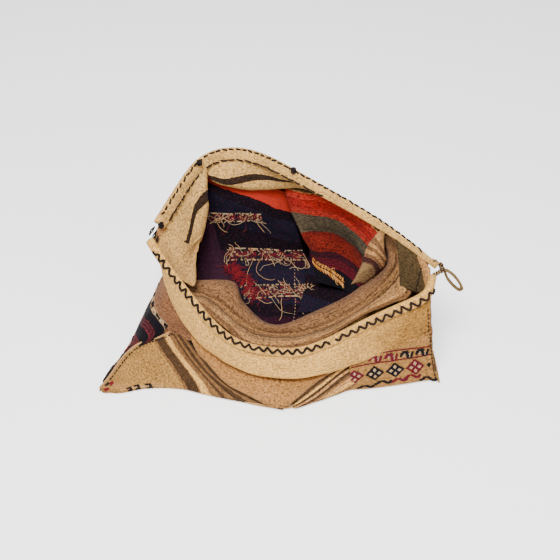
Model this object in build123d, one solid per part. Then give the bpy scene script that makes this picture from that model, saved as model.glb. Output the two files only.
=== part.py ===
"""Hand-woven wool storage sack, open at the mouth and slumped on the ground.

Millimetres. +Z is up, +Y points to the back of the sack, +X to its right, where the hanging loop is.
The origin is on the ground under the middle of the sack. A striped plain cloth makes the near wall,
and a brocaded dark cloth makes the ground, back and left walls. Both are sewn along the two sides.
"""

from build123d import *
import math
import os

# ---- driving dimensions ---------------------------------------------------------------------------
CLOTH = 4.0  # thickness of the woven wool
HEM_RADIUS = 6.5  # rolled hem round the mouth
FACING = 3.0  # hem allowance, turned in and stitched down
FACING_DEPTH = 15.0
THREAD = 2.6  # dark goat-hair sewing thread
YARN = 1.8  # loose weft ends and light basting thread
BROCADE = 1.2  # how far the brocade stands off the cloth
CLEAR = 0.35  # between a cloth and what lies on it
ZIGZAG_PITCH = 17.0  # one tooth of the zigzag along the rim
ZIGZAG_REACH = 0.17  # how far down the near wall a tooth reaches, as a share of it
RUN_PITCH = 14.0  # one stitch of the running stitches
SEAM_PITCH = 10.0  # one stitch of the side seams
KNOT_RADIUS = 5.0
EDGE_ROLL = 3.0  # half the thickness of the sewn bottom edge
ON_CLOTH = CLOTH + CLEAR + THREAD / 2  # height of a stitch's middle over the cloth's far side

# ---- rim and cloths: a few points each, as the cloth lies -------------------------------------------
BACK_RIM = [(-194, 30, 226), (-155, 84, 265), (-114, 132, 290), (-61, 139, 300), (-9, 118, 300),
            (51, 79, 290), (118, 43, 270), (168, 20, 250), (219, -3, 225), (270, -33, 197)]
FRONT_RIM = [(-203, 4, 210), (-186, -19, 195), (-141, -74, 165), (-91, -122, 130), (-49, -149, 115),
             (1, -158, 108), (50, -158, 108), (116, -133, 118), (184, -103, 135), (234, -87, 150),
             (262, -77, 166), (272, -55, 180)]

# the rows of a cloth run left to right, from its top edge down
FRONT_DRAPE = [
    [(-186, -21, 188), (-141, -77, 158), (-91, -125, 123), (-32, -158, 104), (50, -162, 101),
     (116, -138, 111), (184, -108, 128), (256, -86, 158)],
    [(-183, -24, 160), (-144, -85, 127), (-94, -132, 101), (-33, -167, 83), (50, -174, 79),
     (124, -147, 88), (193, -117, 102), (263, -96, 130)],
    [(-179, -30, 130), (-137, -100, 94), (-86, -145, 72), (-27, -170, 60), (50, -178, 57),
     (128, -158, 63), (198, -124, 77), (269, -104, 94)],
]
FRONT_BELLY = [
    [(-166, -62, 46), (-118, -98, 50), (-46, -142, 52), (42, -150, 50), (127, -134, 55)],
    [(-228, -84, 24), (-152, -122, 26), (-64, -166, 31), (34, -183, 27), (130, -152, 31)],
    [(-272, -141, 7), (-208, -144, 7), (-77, -170, 7), (31, -186, 7), (132, -150, 7)],
]
RIGHT_CORNER = [
    [(143, -151, 58), (206, -122, 70), (269, -106, 88)],
    [(143, -153, 32), (211, -128, 38), (276, -115, 47)],
    [(144, -152, 7), (222, -130, 7), (283, -124, 7)],
]
LEFT_SIDE = [
    [(-199, -2, 190), (-190, -22, 168), (-176, -40, 140)],
    [(-200, -10, 110), (-190, -38, 97), (-170, -62, 80)],
    [(-224, -34, 69), (-212, -46, 60), (-186, -56, 50)],
    [(-258, -80, 26), (-252, -81, 26), (-244, -82, 26)],
]
BACK_WALL = [
    [(-204, 26, 208), (-160, 99, 244), (-119, 148, 272), (-56, 157, 281), (60, 96, 270),
     (174, 37, 232), (268, -24, 180)],
    [(-206, 13, 110), (-172, 105, 130), (-128, 167, 140), (-40, 180, 145), (75, 150, 140),
     (190, 80, 120), (280, -62, 90)],
    [(-262, -62, 7), (-205, 100, 7), (-135, 172, 7), (-30, 185, 7), (95, 176, 7),
     (205, 116, 7), (284, -104, 7)],
]
GROUND_FRONT = [(-294, -150), (-208, -153), (-77, -179), (31, -195), (138, -161), (227, -138), (294, -134)]
GROUND_BACK = [(294, -134), (286, -40), (214, 122), (95, 188), (-30, 195), (-138, 182), (-212, 108),
               (-268, -50), (-294, -150)]
INNER_LEFT = [
    [(-182, 26, 205), (-148, 80, 243), (-114, 116, 268)],
    [(-160, 2, 175), (-138, 56, 202), (-112, 104, 232)],
    [(-146, -20, 140), (-132, 34, 145), (-114, 80, 188)],
]
INNER_BACK = [
    [(-104, 122, 266), (-58, 128, 275), (-10, 107, 275), (46, 71, 265)],
    [(-100, 121, 253), (-46, 121, 255), (15, 111, 255), (64, 76, 258)],
    [(-96, 120, 240), (-45, 118, 228), (21, 113, 238), (74, 79, 246)],
]
FIELD = [
    [(-104, 150, 212), (-20, 145, 200), (50, 132, 185)],
    [(-109, 134, 140), (-20, 128, 125), (66, 117, 105)],
    [(-114, 92, 80), (-20, 78, 65), (82, 66, 60)],
    [(-100, 34, 40), (-19, 8, 32), (86, 3, 30)],
    [(-66, -20, 22), (10, -40, 20), (80, -36, 20)],
]
BANDS = [
    [(36, 106, 226), (100, 78, 230), (165, 32, 211), (190, 16, 188)],
    [(54, 100, 165), (116, 84, 165), (160, 54, 150), (182, 26, 140)],
    [(74, 86, 110), (118, 76, 105), (160, 44, 100), (176, 18, 95)],
]
INNER_RIGHT = [
    [(214, -8, 200), (238, -18, 192), (260, -42, 178)],
    [(222, -20, 160), (239, -32, 158), (254, -56, 158)],
    [(224, -42, 132), (238, -54, 135), (248, -68, 142)],
]
# the fold that hangs inside the mouth: the line of its crest, and its section, from the side next
# to the rim over the crest to the side over the hollow (out towards the rim, up)
FOLD_CREST = [(-116, -40, 108), (-70, -74, 100), (-15, -98, 96), (52, -96, 102), (114, -64, 116),
              (168, -36, 132), (196, -12, 154), (194, 12, 176)]
FOLD_SECTION = [(36, -30), (21, -7), (0, 0), (-15, -12), (-19, -36)]
FOLD_TAPER = 0.45  # how much narrower the fold is at its two ends

# ---- seams, as (cloth, share across it, from and to down it) -----------------------------------------
SEAMS = {
    "left_seam_stitching": (LEFT_SIDE, 0.96, (0.45, 0.97)),
    "right_seam_stitching": (RIGHT_CORNER, 0.96, (0.03, 0.97)),
    "inner_left_seam": (INNER_LEFT, 0.3, (0.03, 0.97)),
    "inner_right_seam": (INNER_RIGHT, 0.5, (0.03, 0.97)),
}
HEM_SHOULDER = 0.72  # how far out and up the back hem's stitches lie, as a share of its radius
RUN_DEPTH = 0.6  # how far down the facing its stitches run, as a share of it

# ---- hanging loop: it turns about a line from front to back through the right corner ----------------
LOOP_AXIS = (288, -43, 187)
WHIPPING_RADIUS = 4.5  # thread wound round the corner, which the loop turns about
WHIPPING_LENGTH = 22.0
LEG_DIAMETER = 8.0  # of the whipping that runs on to each hem
LEGS_AT = (8.0, -7.0)  # where the legs to the back and near hems leave the line, from its middle
LOOP_RADIUS = 3.4
# the cord's way out and back, from the axis
LOOP_ROUTE = [(6.2, -4.8, 0), (16, -5.4, -6), (28, -6, -20), (39, -5, -40), (38, 0, -53), (27, 4.5, -46),
              (16, 6, -33), (9.5, 5.4, -20), (4.9, 4.8, -5.4)]

# ---- weave details, as shares (down, across) of the cloth that they lie on ---------------------------
FIELD_PATCHES = {
    "brocade_upper_row": ((0.24, 0.32), (0.08, 0.62)),
    "brocade_middle_row": ((0.46, 0.55), (0.1, 0.9)),
    "brocade_lower_row": ((0.7, 0.79), (0.15, 0.92)),
    "red_darn": ((0.57, 0.68), (0.12, 0.2)),
    "gold_motif": ((0.58, 0.66), (0.84, 0.97)),
}
BASTING = (0.66, (0.57, 0.69))  # across, and from and to down
BASTING_PITCH = 7.0
TAIL_STARTS = [(0.33, 0.5), (0.33, 0.64), (0.56, 0.45), (0.56, 0.58), (0.8, 0.45), (0.8, 0.55), (0.8, 0.7),
               (0.8, 0.84)]
TAIL_LEANS = [-0.05, -0.06, 0.03, -0.04, -0.03, 0.02, -0.02, 0.02]
TAIL_LENGTH = 0.09
BORDER_DOWN, BORDER_WIDTH, BORDER_ACROSS = (0.1, 0.36), 0.03, (0.1, 0.94)
HOOKS_DOWN, HOOKS_ACROSS, HOOK_WIDTH = (0.17, 0.32), (0.2, 0.4, 0.6, 0.78), 0.12
DIAMONDS_DOWN, DIAMONDS_ACROSS, DIAMOND_WIDTH = (0.45, 0.8), (0.12, 0.38, 0.64), 0.17
STRIPES_DOWN, STRIPE_WIDTH, STRIPES_ACROSS = (0.46, 0.6, 0.74), 0.08, (0.08, 0.9)

# ---- knots and lacing of the rim ---------------------------------------------------------------------
KNOTS = [(-122, 113, 290), (-186, 26, 222), (40, 82, 296)]
LACING_FROM = [(-197, 22, 222), (-194, 18, 216), (-191, 13, 209)]
LACING_TO = [(-205, 12, 214), (-200, 6, 206), (-194, 0, 200)]


# ---- builders ------------------------------------------------------------------------------------------
def surface(rows):
    return Face.make_surface_from_array_of_points([[Vector(*p) for p in row] for row in rows])


def offset_rows(face, rows, distance):
    """The rows moved off the face by distance, along its normal."""
    return [[tuple(Vector(*p) + face.normal_at(Vector(*p)) * distance) for p in row] for row in rows]


def cloth(rows, thickness=CLOTH):
    """A closed sheet on rows, lying thickness to the side that its normal points to."""
    near = surface(rows)
    far = surface(offset_rows(near, rows, thickness))
    faces = [near, far]
    for edge in near.edges():
        partner = min(far.edges(), key=lambda e: (e.center() - edge.center()).length)
        faces.append(Face.make_surface_from_curves(edge, partner))
    return Solid(Shell(faces))


def at(face, down, across, height=0.0):
    """A point on a cloth's face: down and across run from 0 to 1, and height is off the face."""
    point = face.position_at(down, across)
    return tuple(point + face.normal_at(point) * height)


def patch(face, down, across, thickness, lift=CLOTH + CLEAR, count=(4, 7)):
    """A thin sheet that lies on a stretch of a face, lift above it."""
    rows = []
    for i in range(count[0]):
        d = down[0] + (down[1] - down[0]) * i / (count[0] - 1)
        steps = [across[0] + (across[1] - across[0]) * j / (count[1] - 1) for j in range(count[1])]
        rows.append([at(face, d, a, lift) for a in steps])
    return cloth(rows, thickness)


def rod(start, end, diameter, trim=0.0):
    """A straight round stitch from start to end, shortened by trim at both ends."""
    a, b = Vector(*start), Vector(*end)
    along = (b - a).normalized()
    a, b = a + along * trim, b - along * trim
    return Solid.make_cylinder(diameter / 2, (b - a).length, Plane(origin=a, z_dir=along))


def tube(points, radius):
    path = Spline(*[Vector(*p) for p in points])
    return sweep(Plane(origin=path @ 0, z_dir=path % 0) * Circle(radius), path=path)


def legs(points, diameter):
    """Separate straight stitches from point to point, each short of its neighbours."""
    return Compound([rod(a, b, diameter, trim=diameter) for a, b in zip(points, points[1:])])


def running(points, diameter, share=0.6):
    """A separate stitch about each inner point of a line, a share of the pitch long."""
    made = []
    for before, here, after in zip(points, points[1:], points[2:]):
        step = (Vector(*after) - Vector(*before)) * (share / 4)
        made.append(rod(tuple(Vector(*here) - step), tuple(Vector(*here) + step), diameter))
    return Compound(made)


def across_face(face, down, pitch, height, span=(0.02, 0.98)):
    """Points about a pitch apart across a face."""
    fine = [Vector(*at(face, down, span[0] + (span[1] - span[0]) * i / 40)) for i in range(41)]
    count = int(sum((b - a).length for a, b in zip(fine, fine[1:])) // pitch)
    return [at(face, down, span[0] + (span[1] - span[0]) * i / count, height) for i in range(count + 1)]


def down_face(face, across, pitch, height, span=(0.03, 0.97)):
    """Points about a pitch apart down a face."""
    fine = [Vector(*at(face, span[0] + (span[1] - span[0]) * i / 20, across)) for i in range(21)]
    count = int(sum((b - a).length for a, b in zip(fine, fine[1:])) // pitch)
    return [at(face, span[0] + (span[1] - span[0]) * i / count, across, height) for i in range(count + 1)]


# ---- cloth ------------------------------------------------------------------------------------------------
def make_ground():
    inner = [Vector(x, y + EDGE_ROLL + 1.2, 0) for x, y in GROUND_FRONT[1:-1]]
    front = Spline(Vector(*GROUND_FRONT[0], 0), *inner, Vector(*GROUND_FRONT[-1], 0))
    back = Spline(*[Vector(x, y, 0) for x, y in GROUND_BACK])
    return extrude(make_face([front, back]), amount=CLOTH)


def make_inner_fold():
    """The section carried along the crest, narrower at both ends."""
    crest = Spline(*[Vector(*p) for p in FOLD_CREST])
    rows = []
    for out, up in FOLD_SECTION:
        row = []
        for i in range(11):
            share = i / 10
            width = 1 - FOLD_TAPER * (2 * share - 1) ** 2
            along = crest % share
            side = Vector(along.Y, -along.X, 0).normalized()
            row.append(tuple((crest @ share) + side * (out * width) + Vector(0, 0, up * width)))
        rows.append(row)
    return cloth(rows)


# ---- stitching --------------------------------------------------------------------------------------------
def make_zigzag(face):
    """Teeth between the hem and a line just below it."""
    first, last, top = 0.07, 0.98, 0.06
    count = len(across_face(face, 0, ZIGZAG_PITCH / 2, 0, (first, last)))
    teeth = [at(face, ZIGZAG_REACH if i % 2 else top, first + (last - first) * i / (count - 1), ON_CLOTH)
             for i in range(count)]
    return legs(teeth, THREAD)


def beside_rim(share, inward, down):
    """A point beside the back rim, a share of the way along it: inward to the mouth, and down."""
    rim = Spline(*[Vector(*p) for p in BACK_RIM])
    along = (rim % share).normalized()
    side = along.cross(Vector(0, 0, 1)).normalized()
    below = along.cross(side).normalized()
    return tuple((rim @ share) + side * inward + (below if below.Z < 0 else -below) * down)


def make_facing():
    """The strip of cloth turned in below the back hem."""
    rows = [[beside_rim(i / 12, -1, HEM_RADIUS + down) for i in range(13)]
            for down in (FACING / 2, FACING_DEPTH / 2, FACING_DEPTH)]
    return cloth(rows, FACING)


def make_back_run(inward, down):
    """Running stitch along the inside of the back rim."""
    length = Spline(*[Vector(*p) for p in BACK_RIM]).length
    count = int(length // RUN_PITCH)
    return running([beside_rim(i / count, inward, down) for i in range(count + 1)], THREAD)


def make_lacing():
    """Thread that ties the near and back hems together across the open left corner."""
    return Compound([rod(a, b, THREAD) for a, b in zip(LACING_FROM, LACING_TO)])


def make_knots():
    return Compound([Pos(*k) * Sphere(KNOT_RADIUS) for k in KNOTS])


def make_whipping():
    """Thread wound round the right corner: a barrel for the loop, and two legs to the hems."""
    x, y, z = LOOP_AXIS
    half = WHIPPING_LENGTH / 2
    whipping = rod((x, y - half, z), (x, y + half, z), 2 * WHIPPING_RADIUS)
    for along, hem in zip(LEGS_AT, (BACK_RIM, FRONT_RIM)):
        whipping += rod((x, y + along, z), hem[-1], LEG_DIAMETER)
    return whipping


def make_loop():
    """The cord: straight runs joined by arcs as large as the runs allow."""
    points = [Vector(*LOOP_AXIS) + Vector(*p) for p in LOOP_ROUTE]
    runs = [b - a for a, b in zip(points, points[1:])]
    radii = [0.45 * min(a.length, b.length) / math.tan(math.radians(a.get_angle(b)) / 2)
             for a, b in zip(runs, runs[1:])]
    path = FilletPolyline(*points, radius=radii)
    print("loop length", round(path.length, 1), "radii", [round(r, 1) for r in radii])
    return sweep(Plane(origin=path @ 0, z_dir=path % 0) * Circle(LOOP_RADIUS), path=path)


# ---- weave details ----------------------------------------------------------------------------------------
def make_tails(face):
    """Loose weft ends that lie on the brocaded cloth."""
    height = CLOTH + CLEAR + BROCADE + YARN / 2
    return Compound([rod(at(face, d, a, height), at(face, d + TAIL_LENGTH, a + lean, height), YARN)
                     for (d, a), lean in zip(TAIL_STARTS, TAIL_LEANS)])


def make_border(face):
    return Compound([patch(face, (d, d + BORDER_WIDTH), BORDER_ACROSS, BROCADE) for d in BORDER_DOWN])


def make_motifs(face, down, starts, width):
    """A row of woven motifs, each a raised block."""
    return Compound([patch(face, down, (a, a + width), BROCADE) for a in starts])


def make_stripes(face):
    return Compound([patch(face, (d, d + STRIPE_WIDTH), STRIPES_ACROSS, BROCADE) for d in STRIPES_DOWN])


def write(node, shape):
    export_step(shape, f"parts/{node}.step")


def write_cloths():
    sheets = {
        "front_drape": FRONT_DRAPE, "front_belly": FRONT_BELLY, "right_corner_panel": RIGHT_CORNER,
        "left_side_panel": LEFT_SIDE, "back_wall": BACK_WALL, "inner_left_wall": INNER_LEFT,
        "inner_back_band": INNER_BACK, "brocade_field": FIELD, "striped_bands": BANDS,
        "inner_right_wall": INNER_RIGHT,
    }
    for node, rows in sheets.items():
        write(node, cloth(rows))
    edge = [(x, y, EDGE_ROLL) for x, y in GROUND_FRONT[1:-1]]
    write("ground_cloth", make_ground())
    write("inner_fold", make_inner_fold())
    write("back_hem", tube(BACK_RIM, HEM_RADIUS))
    write("front_hem", tube(FRONT_RIM, HEM_RADIUS))
    write("back_hem_facing", make_facing())
    write("bottom_edge_roll", tube(edge, EDGE_ROLL - CLEAR))


def write_stitching():
    for node, (rows, across, span) in SEAMS.items():
        write(node, running(down_face(surface(rows), across, SEAM_PITCH, ON_CLOTH, span), THREAD))
    on_hem = HEM_SHOULDER * (HEM_RADIUS + THREAD)
    on_facing = FACING + THREAD / 2 + 2 * CLEAR
    write("zigzag_stitching", make_zigzag(surface(FRONT_DRAPE)))
    write("back_hem_stitching", make_back_run(on_hem, on_hem))
    write("back_facing_stitching", make_back_run(on_facing, HEM_RADIUS + RUN_DEPTH * FACING_DEPTH))
    write("left_corner_lacing", make_lacing())
    write("rim_knots", make_knots())
    write("right_corner_whipping", make_whipping())
    write("hanging_loop", make_loop())


def write_weave():
    field, corner, left = surface(FIELD), surface(RIGHT_CORNER), surface(LEFT_SIDE)
    for node, (down, across) in FIELD_PATCHES.items():
        write(node, patch(field, down, across, BROCADE))
    basting = down_face(field, BASTING[0], BASTING_PITCH, ON_CLOTH, BASTING[1])
    write("basting_thread", running(basting, YARN))
    write("loose_weft_ends", make_tails(field))
    write("border_lines", make_border(corner))
    write("hook_motifs", make_motifs(corner, HOOKS_DOWN, HOOKS_ACROSS, HOOK_WIDTH))
    write("diamond_motifs", make_motifs(corner, DIAMONDS_DOWN, DIAMONDS_ACROSS, DIAMOND_WIDTH))
    write("left_dark_stripes", make_stripes(left))


def main():
    os.makedirs("parts", exist_ok=True)
    write_cloths()
    write_stitching()
    write_weave()


if __name__ == "__main__":
    main()
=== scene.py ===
"""Looks of the woven storage sack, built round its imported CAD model. Blender, metres.

Every cloth is a loft through rows of points that give how it lies. A row runs along the weft, and the rows
follow the warp. The points are millimetres in the model's frame, as in the part's source. Threads are
twisted strands of two plies that lie on the cloths. The attribute "cloth" holds, in metres, where a point is
along the weft (x) and the warp (y) of its cloth. Its z is the share of the way down the cloth, or across its
stripes.
"""
import math
import random
import re

import bpy
import numpy as np
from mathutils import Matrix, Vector, noise


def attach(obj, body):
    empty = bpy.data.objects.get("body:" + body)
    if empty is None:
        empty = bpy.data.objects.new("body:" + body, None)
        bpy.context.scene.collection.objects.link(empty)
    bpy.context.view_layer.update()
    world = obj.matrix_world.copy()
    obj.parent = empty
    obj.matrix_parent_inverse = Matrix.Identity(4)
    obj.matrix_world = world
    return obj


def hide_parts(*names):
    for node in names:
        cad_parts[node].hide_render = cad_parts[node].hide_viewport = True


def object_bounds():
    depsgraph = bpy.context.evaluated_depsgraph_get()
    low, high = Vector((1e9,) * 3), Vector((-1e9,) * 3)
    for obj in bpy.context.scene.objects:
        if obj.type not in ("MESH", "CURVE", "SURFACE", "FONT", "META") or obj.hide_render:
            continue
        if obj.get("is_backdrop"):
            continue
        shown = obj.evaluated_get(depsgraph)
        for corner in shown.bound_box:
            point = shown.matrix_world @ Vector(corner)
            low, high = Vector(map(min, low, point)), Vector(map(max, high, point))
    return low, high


MM = 0.001
CLOTH = 3.2 * MM  # thickness of the wool
GRID = 3.0 * MM  # spacing of a cloth's mesh
THREAD = 1.4 * MM  # radius of the dark sewing thread
YARN = 0.5 * MM  # radius of a loose weft end
FLOAT = 0.62 * MM  # radius of a brocade yarn
GRAIN = 0.9  # how much the wool's tone changes from tuft to tuft
RIM_POINTS = 200  # along a hem
SEAM_POINTS = 160  # along a seam
END_TAPER = 0.45  # what is left of a thread's radius at its ends

# ---- rim and loop: the same places as in the CAD -------------------------------------------------
BACK_RIM = [(-194, 30, 226), (-155, 84, 265), (-114, 132, 290), (-61, 139, 300), (-9, 118, 300),
            (51, 79, 290), (118, 43, 270), (168, 20, 250), (219, -3, 225), (270, -33, 197)]
FRONT_RIM = [(-203, 4, 210), (-186, -19, 195), (-141, -74, 165), (-91, -122, 130), (-49, -149, 115),
             (1, -158, 108), (50, -158, 108), (116, -133, 118), (184, -103, 135), (234, -87, 150),
             (262, -77, 166), (272, -55, 180)]
BACK_HEM_END = (282, -40, 189)  # where the far hem runs on to, past its rim
LOOP_AXIS = (288, -43, 187)
LOOP_ROUTE = [(6.2, -4.8, 0), (16, -5.4, -6), (28, -6, -20), (39, -5, -40), (38, 0, -53), (27, 4.5, -46),
              (16, 6, -33), (9.5, 5.4, -20), (4.9, 4.8, -5.4)]
KNOTS = [(-122, 113, 290), (-186, 26, 222), (40, 82, 296)]
LACING_FROM = [(-197, 22, 222), (-194, 18, 216), (-191, 13, 209)]
LACING_TO = [(-205, 12, 214), (-200, 6, 206), (-194, 0, 200)]

# ---- cloths, as they lie: rows of points from the top edge down ----------------------------------
DRAPE = [
    [(-195, 4, 204), (-182, -17, 190), (-141, -72, 160), (-91, -120, 125), (-49, -147, 111), (1, -157, 105),
     (50, -157, 105), (116, -132, 114), (184, -102, 131), (234, -86, 146), (266, -72, 166)],
    [(-193, -3, 180), (-178, -28, 162), (-138, -86, 130), (-92, -128, 102), (-50, -153, 90), (0, -165, 85),
     (52, -166, 86), (120, -144, 93), (188, -113, 107), (238, -97, 122), (269, -86, 142)],
    [(-188, -10, 150), (-172, -40, 128), (-135, -92, 98), (-92, -130, 78), (-51, -154, 68), (-1, -168, 65),
     (54, -170, 66), (124, -149, 74), (193, -120, 90), (242, -106, 104), (272, -97, 116)],
    [(-184, -18, 125), (-166, -50, 100), (-131, -96, 74), (-92, -128, 60), (-52, -150, 53), (-2, -165, 51),
     (56, -168, 51), (127, -149, 56), (196, -127, 66), (246, -114, 76), (276, -107, 84)],
    [(-176, -20, 112), (-156, -46, 88), (-124, -84, 62), (-90, -112, 50), (-52, -130, 46), (-2, -140, 44),
     (56, -142, 44), (126, -128, 48), (195, -118, 55), (247, -114, 60), (278, -112, 64)],
]
BELLY = [
    [(-138, -76, 70), (-96, -104, 57), (-66, -118, 50), (-30, -128, 46), (17, -134, 44), (59, -134, 45),
     (92, -130, 48), (120, -122, 50)],
    [(-134, -94, 59), (-103, -122, 48), (-75, -142, 43), (-33, -160, 41), (17, -168, 40), (59, -165, 40),
     (90, -154, 43), (118, -138, 46)],
    [(-122, -110, 44), (-102, -130, 39), (-79, -154, 35), (-34, -176, 31), (19, -190, 29), (54, -178, 31),
     (84, -158, 37), (112, -138, 42)],
    [(-119, -110, 36), (-101, -130, 31), (-77, -156, 25), (-35, -179, 18), (19, -197, 8), (48, -184, 20),
     (78, -160, 30), (104, -140, 38)],
]
LEFT_TIP = [
    [(-163, -50, 56), (-140, -84, 51), (-116, -116, 43), (-90, -147, 32), (-58, -169, 19), (-20, -184, 9),
     (22, -197, 3)],
    [(-174, -56, 51), (-154, -90, 45), (-132, -120, 36), (-109, -144, 25), (-88, -162, 12), (-76, -172, 3)],
    [(-188, -62, 46), (-170, -92, 39), (-152, -115, 32), (-135, -135, 22), (-123, -150, 11), (-117, -161, 3)],
    [(-203, -65, 41), (-187, -93, 34), (-170, -115, 27), (-158, -131, 18), (-147, -145, 9), (-141, -153, 3)],
    [(-234, -69, 30), (-223, -91, 25), (-212, -110, 19), (-202, -125, 13), (-194, -138, 7), (-188, -147, 3)],
    [(-262, -96, 19), (-256, -108, 16), (-248, -121, 13), (-241, -134, 9), (-235, -143, 6), (-230, -151, 3)],
    [(-280, -128, 9), (-276, -136, 8), (-272, -143, 6), (-267, -150, 5), (-263, -155, 4), (-259, -158, 3)],
    [(-294, -149, 4), (-293, -151, 4), (-291, -153, 4), (-290, -155, 3), (-288, -156, 3), (-286, -157, 3)],
]
RIGHT_FOLDS = [
    [(50, -181, 24), (66, -168, 32), (88, -152, 42), (118, -134, 52), (160, -118, 66), (205, -112, 82)],
    [(42, -190, 10), (66, -176, 20), (92, -160, 32), (124, -140, 46), (164, -124, 60), (206, -116, 76)],
    [(40, -194, 4), (72, -180, 12), (100, -163, 25), (132, -144, 40), (170, -130, 54), (207, -120, 72)],
    [(52, -190, 3), (84, -176, 8), (110, -164, 20), (140, -148, 34), (176, -134, 48), (208, -124, 68)],
    [(62, -184, 3), (96, -172, 4), (124, -160, 12), (150, -148, 24), (180, -136, 40), (209, -126, 62)],
    [(96, -168, 3), (120, -160, 3), (140, -152, 6), (158, -146, 14), (180, -138, 30), (204, -128, 54)],
]
CORNER = [
    [(132, -136, 58), (165, -130, 68), (200, -121, 78), (235, -113, 87), (262, -109, 94), (272, -107, 100)],
    [(136, -146, 42), (168, -138, 48), (204, -130, 54), (240, -121, 60), (266, -115, 66), (276, -113, 70)],
    [(138, -151, 24), (170, -145, 28), (206, -137, 33), (244, -128, 37), (270, -121, 40), (281, -119, 42)],
    [(138, -153, 10), (171, -148, 13), (208, -141, 16), (247, -132, 17), (275, -126, 18), (286, -125, 19)],
    [(139, -152, 3), (172, -149, 3), (209, -143, 3), (249, -135, 3), (278, -130, 3), (291, -131, 3)],
]
FOLD = [
    [(-149, 3, 118), (-129, 4, 117), (-98, 11, 112), (-70, 17, 104), (-58, 7, 100), (-52, -14, 93),
     (-41, -31, 88), (-14, -59, 80), (20, -65, 76), (63, -45, 79), (87, -34, 83), (118, -21, 90),
     (143, -8, 97), (166, 8, 106), (188, 21, 118), (202, 27, 134), (204, 31, 152), (198, 32, 176),
     (195, 28, 200), (197, 16, 222)],
    [(-143, -23, 125), (-124, -19, 121), (-98, -22, 117), (-75, -33, 113), (-61, -49, 109),
     (-50, -63, 106), (-36, -79, 104), (-10, -96, 100), (24, -99, 97), (63, -82, 97), (91, -73, 101),
     (120, -61, 108), (146, -49, 116), (171, -35, 127), (193, -23, 141), (207, -11, 158), (210, 2, 174),
     (204, 13, 192), (199, 13, 210), (199, 11, 226)],
    [(-138, -38, 125), (-120, -36, 120), (-99, -42, 112), (-80, -55, 105), (-65, -68, 101), (-51, -80, 98),
     (-36, -91, 95), (-8, -102, 91), (25, -103, 89), (66, -98, 91), (97, -86, 95), (125, -74, 102),
     (147, -63, 110), (172, -47, 121), (197, -26, 136), (216, -9, 152), (222, 2, 170), (213, 12, 191),
     (203, 9, 211), (200, 7, 228)],
    [(-134, -49, 128), (-115, -48, 122), (-98, -57, 114), (-79, -73, 108), (-65, -87, 105),
     (-51, -101, 102), (-35, -113, 100), (-8, -123, 98), (25, -123, 97), (69, -114, 99), (102, -101, 102),
     (131, -85, 108), (155, -73, 115), (183, -57, 124), (209, -43, 134), (226, -30, 150), (234, -14, 170),
     (224, 1, 194), (207, 5, 214), (201, 4, 230)],
    [(-134, -79, 140), (-118, -80, 134), (-102, -90, 127), (-84, -105, 120), (-68, -118, 115),
     (-54, -133, 111), (-39, -147, 109), (-9, -156, 106), (27, -153, 103), (72, -136, 102),
     (106, -115, 104), (135, -96, 109), (163, -79, 114), (193, -68, 120), (220, -61, 127), (240, -53, 136),
     (243, -23, 160), (234, 0, 192), (216, 5, 212), (204, 4, 230)],
]
FLAP = [
    [(186, 8, 226), (191, 8, 227), (196, 9, 226)],
    [(173, 14, 200), (183, 7, 210), (195, 12, 200)],
    [(164, 11, 176), (181, 2, 190), (200, 10, 174)],
    [(157, 4, 150), (178, -2, 164), (202, 9, 150)],
    [(150, -2, 132), (168, -3, 142), (187, 5, 130)],
    [(141, -7, 116), (152, -7, 120), (165, -1, 112)],
]
INNER_LEFT = [
    [(-184, 36, 218), (-162, 78, 246), (-142, 107, 266), (-125, 122, 278), (-112, 121, 276),
     (-110, 126, 262)],
    [(-178, 36, 208), (-161, 62, 225), (-142, 85, 240), (-124, 100, 252), (-113, 101, 248), (-111, 110, 234)],
    [(-170, 30, 196), (-157, 48, 206), (-141, 70, 212), (-122, 83, 220), (-111, 88, 214), (-112, 99, 198)],
    [(-158, 24, 186), (-148, 38, 188), (-135, 54, 191), (-124, 64, 192), (-116, 71, 186), (-118, 84, 170)],
    [(-148, 18, 174), (-140, 30, 172), (-132, 42, 171), (-127, 47, 170), (-123, 53, 164), (-127, 66, 150)],
]
INNER_FRONT_LEFT = [
    [(-182, 44, 207), (-171, 36, 204), (-161, 29, 198), (-149, 22, 190), (-139, 26, 182), (-128, 38, 180),
     (-118, 50, 184)],
    [(-190, 39, 206), (-179, 25, 200), (-165, 14, 191), (-150, 11, 180), (-139, 18, 170), (-132, 31, 166),
     (-125, 40, 170)],
    [(-197, 31, 204), (-183, 11, 196), (-170, -1, 184), (-155, -9, 170), (-142, -8, 160), (-132, 5, 156),
     (-129, 21, 158)],
    [(-198, 11, 203), (-183, -13, 192), (-168, -28, 178), (-151, -41, 164), (-136, -45, 152),
     (-128, -43, 148), (-127, -18, 146)],
]
INNER_BACK = [
    [(-116, 131, 280), (-95, 137, 284), (-67, 136, 288), (-42, 131, 290), (-21, 120, 290), (3, 106, 287),
     (31, 88, 281), (58, 72, 276), (89, 54, 267)],
    [(-112, 126, 262), (-88, 124, 266), (-64, 124, 268), (-39, 121, 270), (-16, 117, 269), (8, 107, 268),
     (33, 96, 267), (58, 82, 266), (86, 64, 260)],
    [(-106, 122, 250), (-84, 116, 248), (-61, 115, 249), (-39, 117, 252), (-18, 116, 255), (6, 110, 256),
     (33, 103, 257), (57, 88, 260), (82, 71, 257)],
    [(-101, 128, 240), (-81, 121, 236), (-57, 117, 233), (-36, 115, 232), (-17, 114, 234), (8, 111, 238),
     (33, 107, 243), (55, 95, 250), (78, 78, 252)],
    [(-101, 140, 234), (-80, 135, 228), (-58, 131, 224), (-37, 129, 223), (-17, 126, 225), (8, 122, 230),
     (33, 117, 236), (56, 105, 243), (76, 88, 247)],
]
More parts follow.
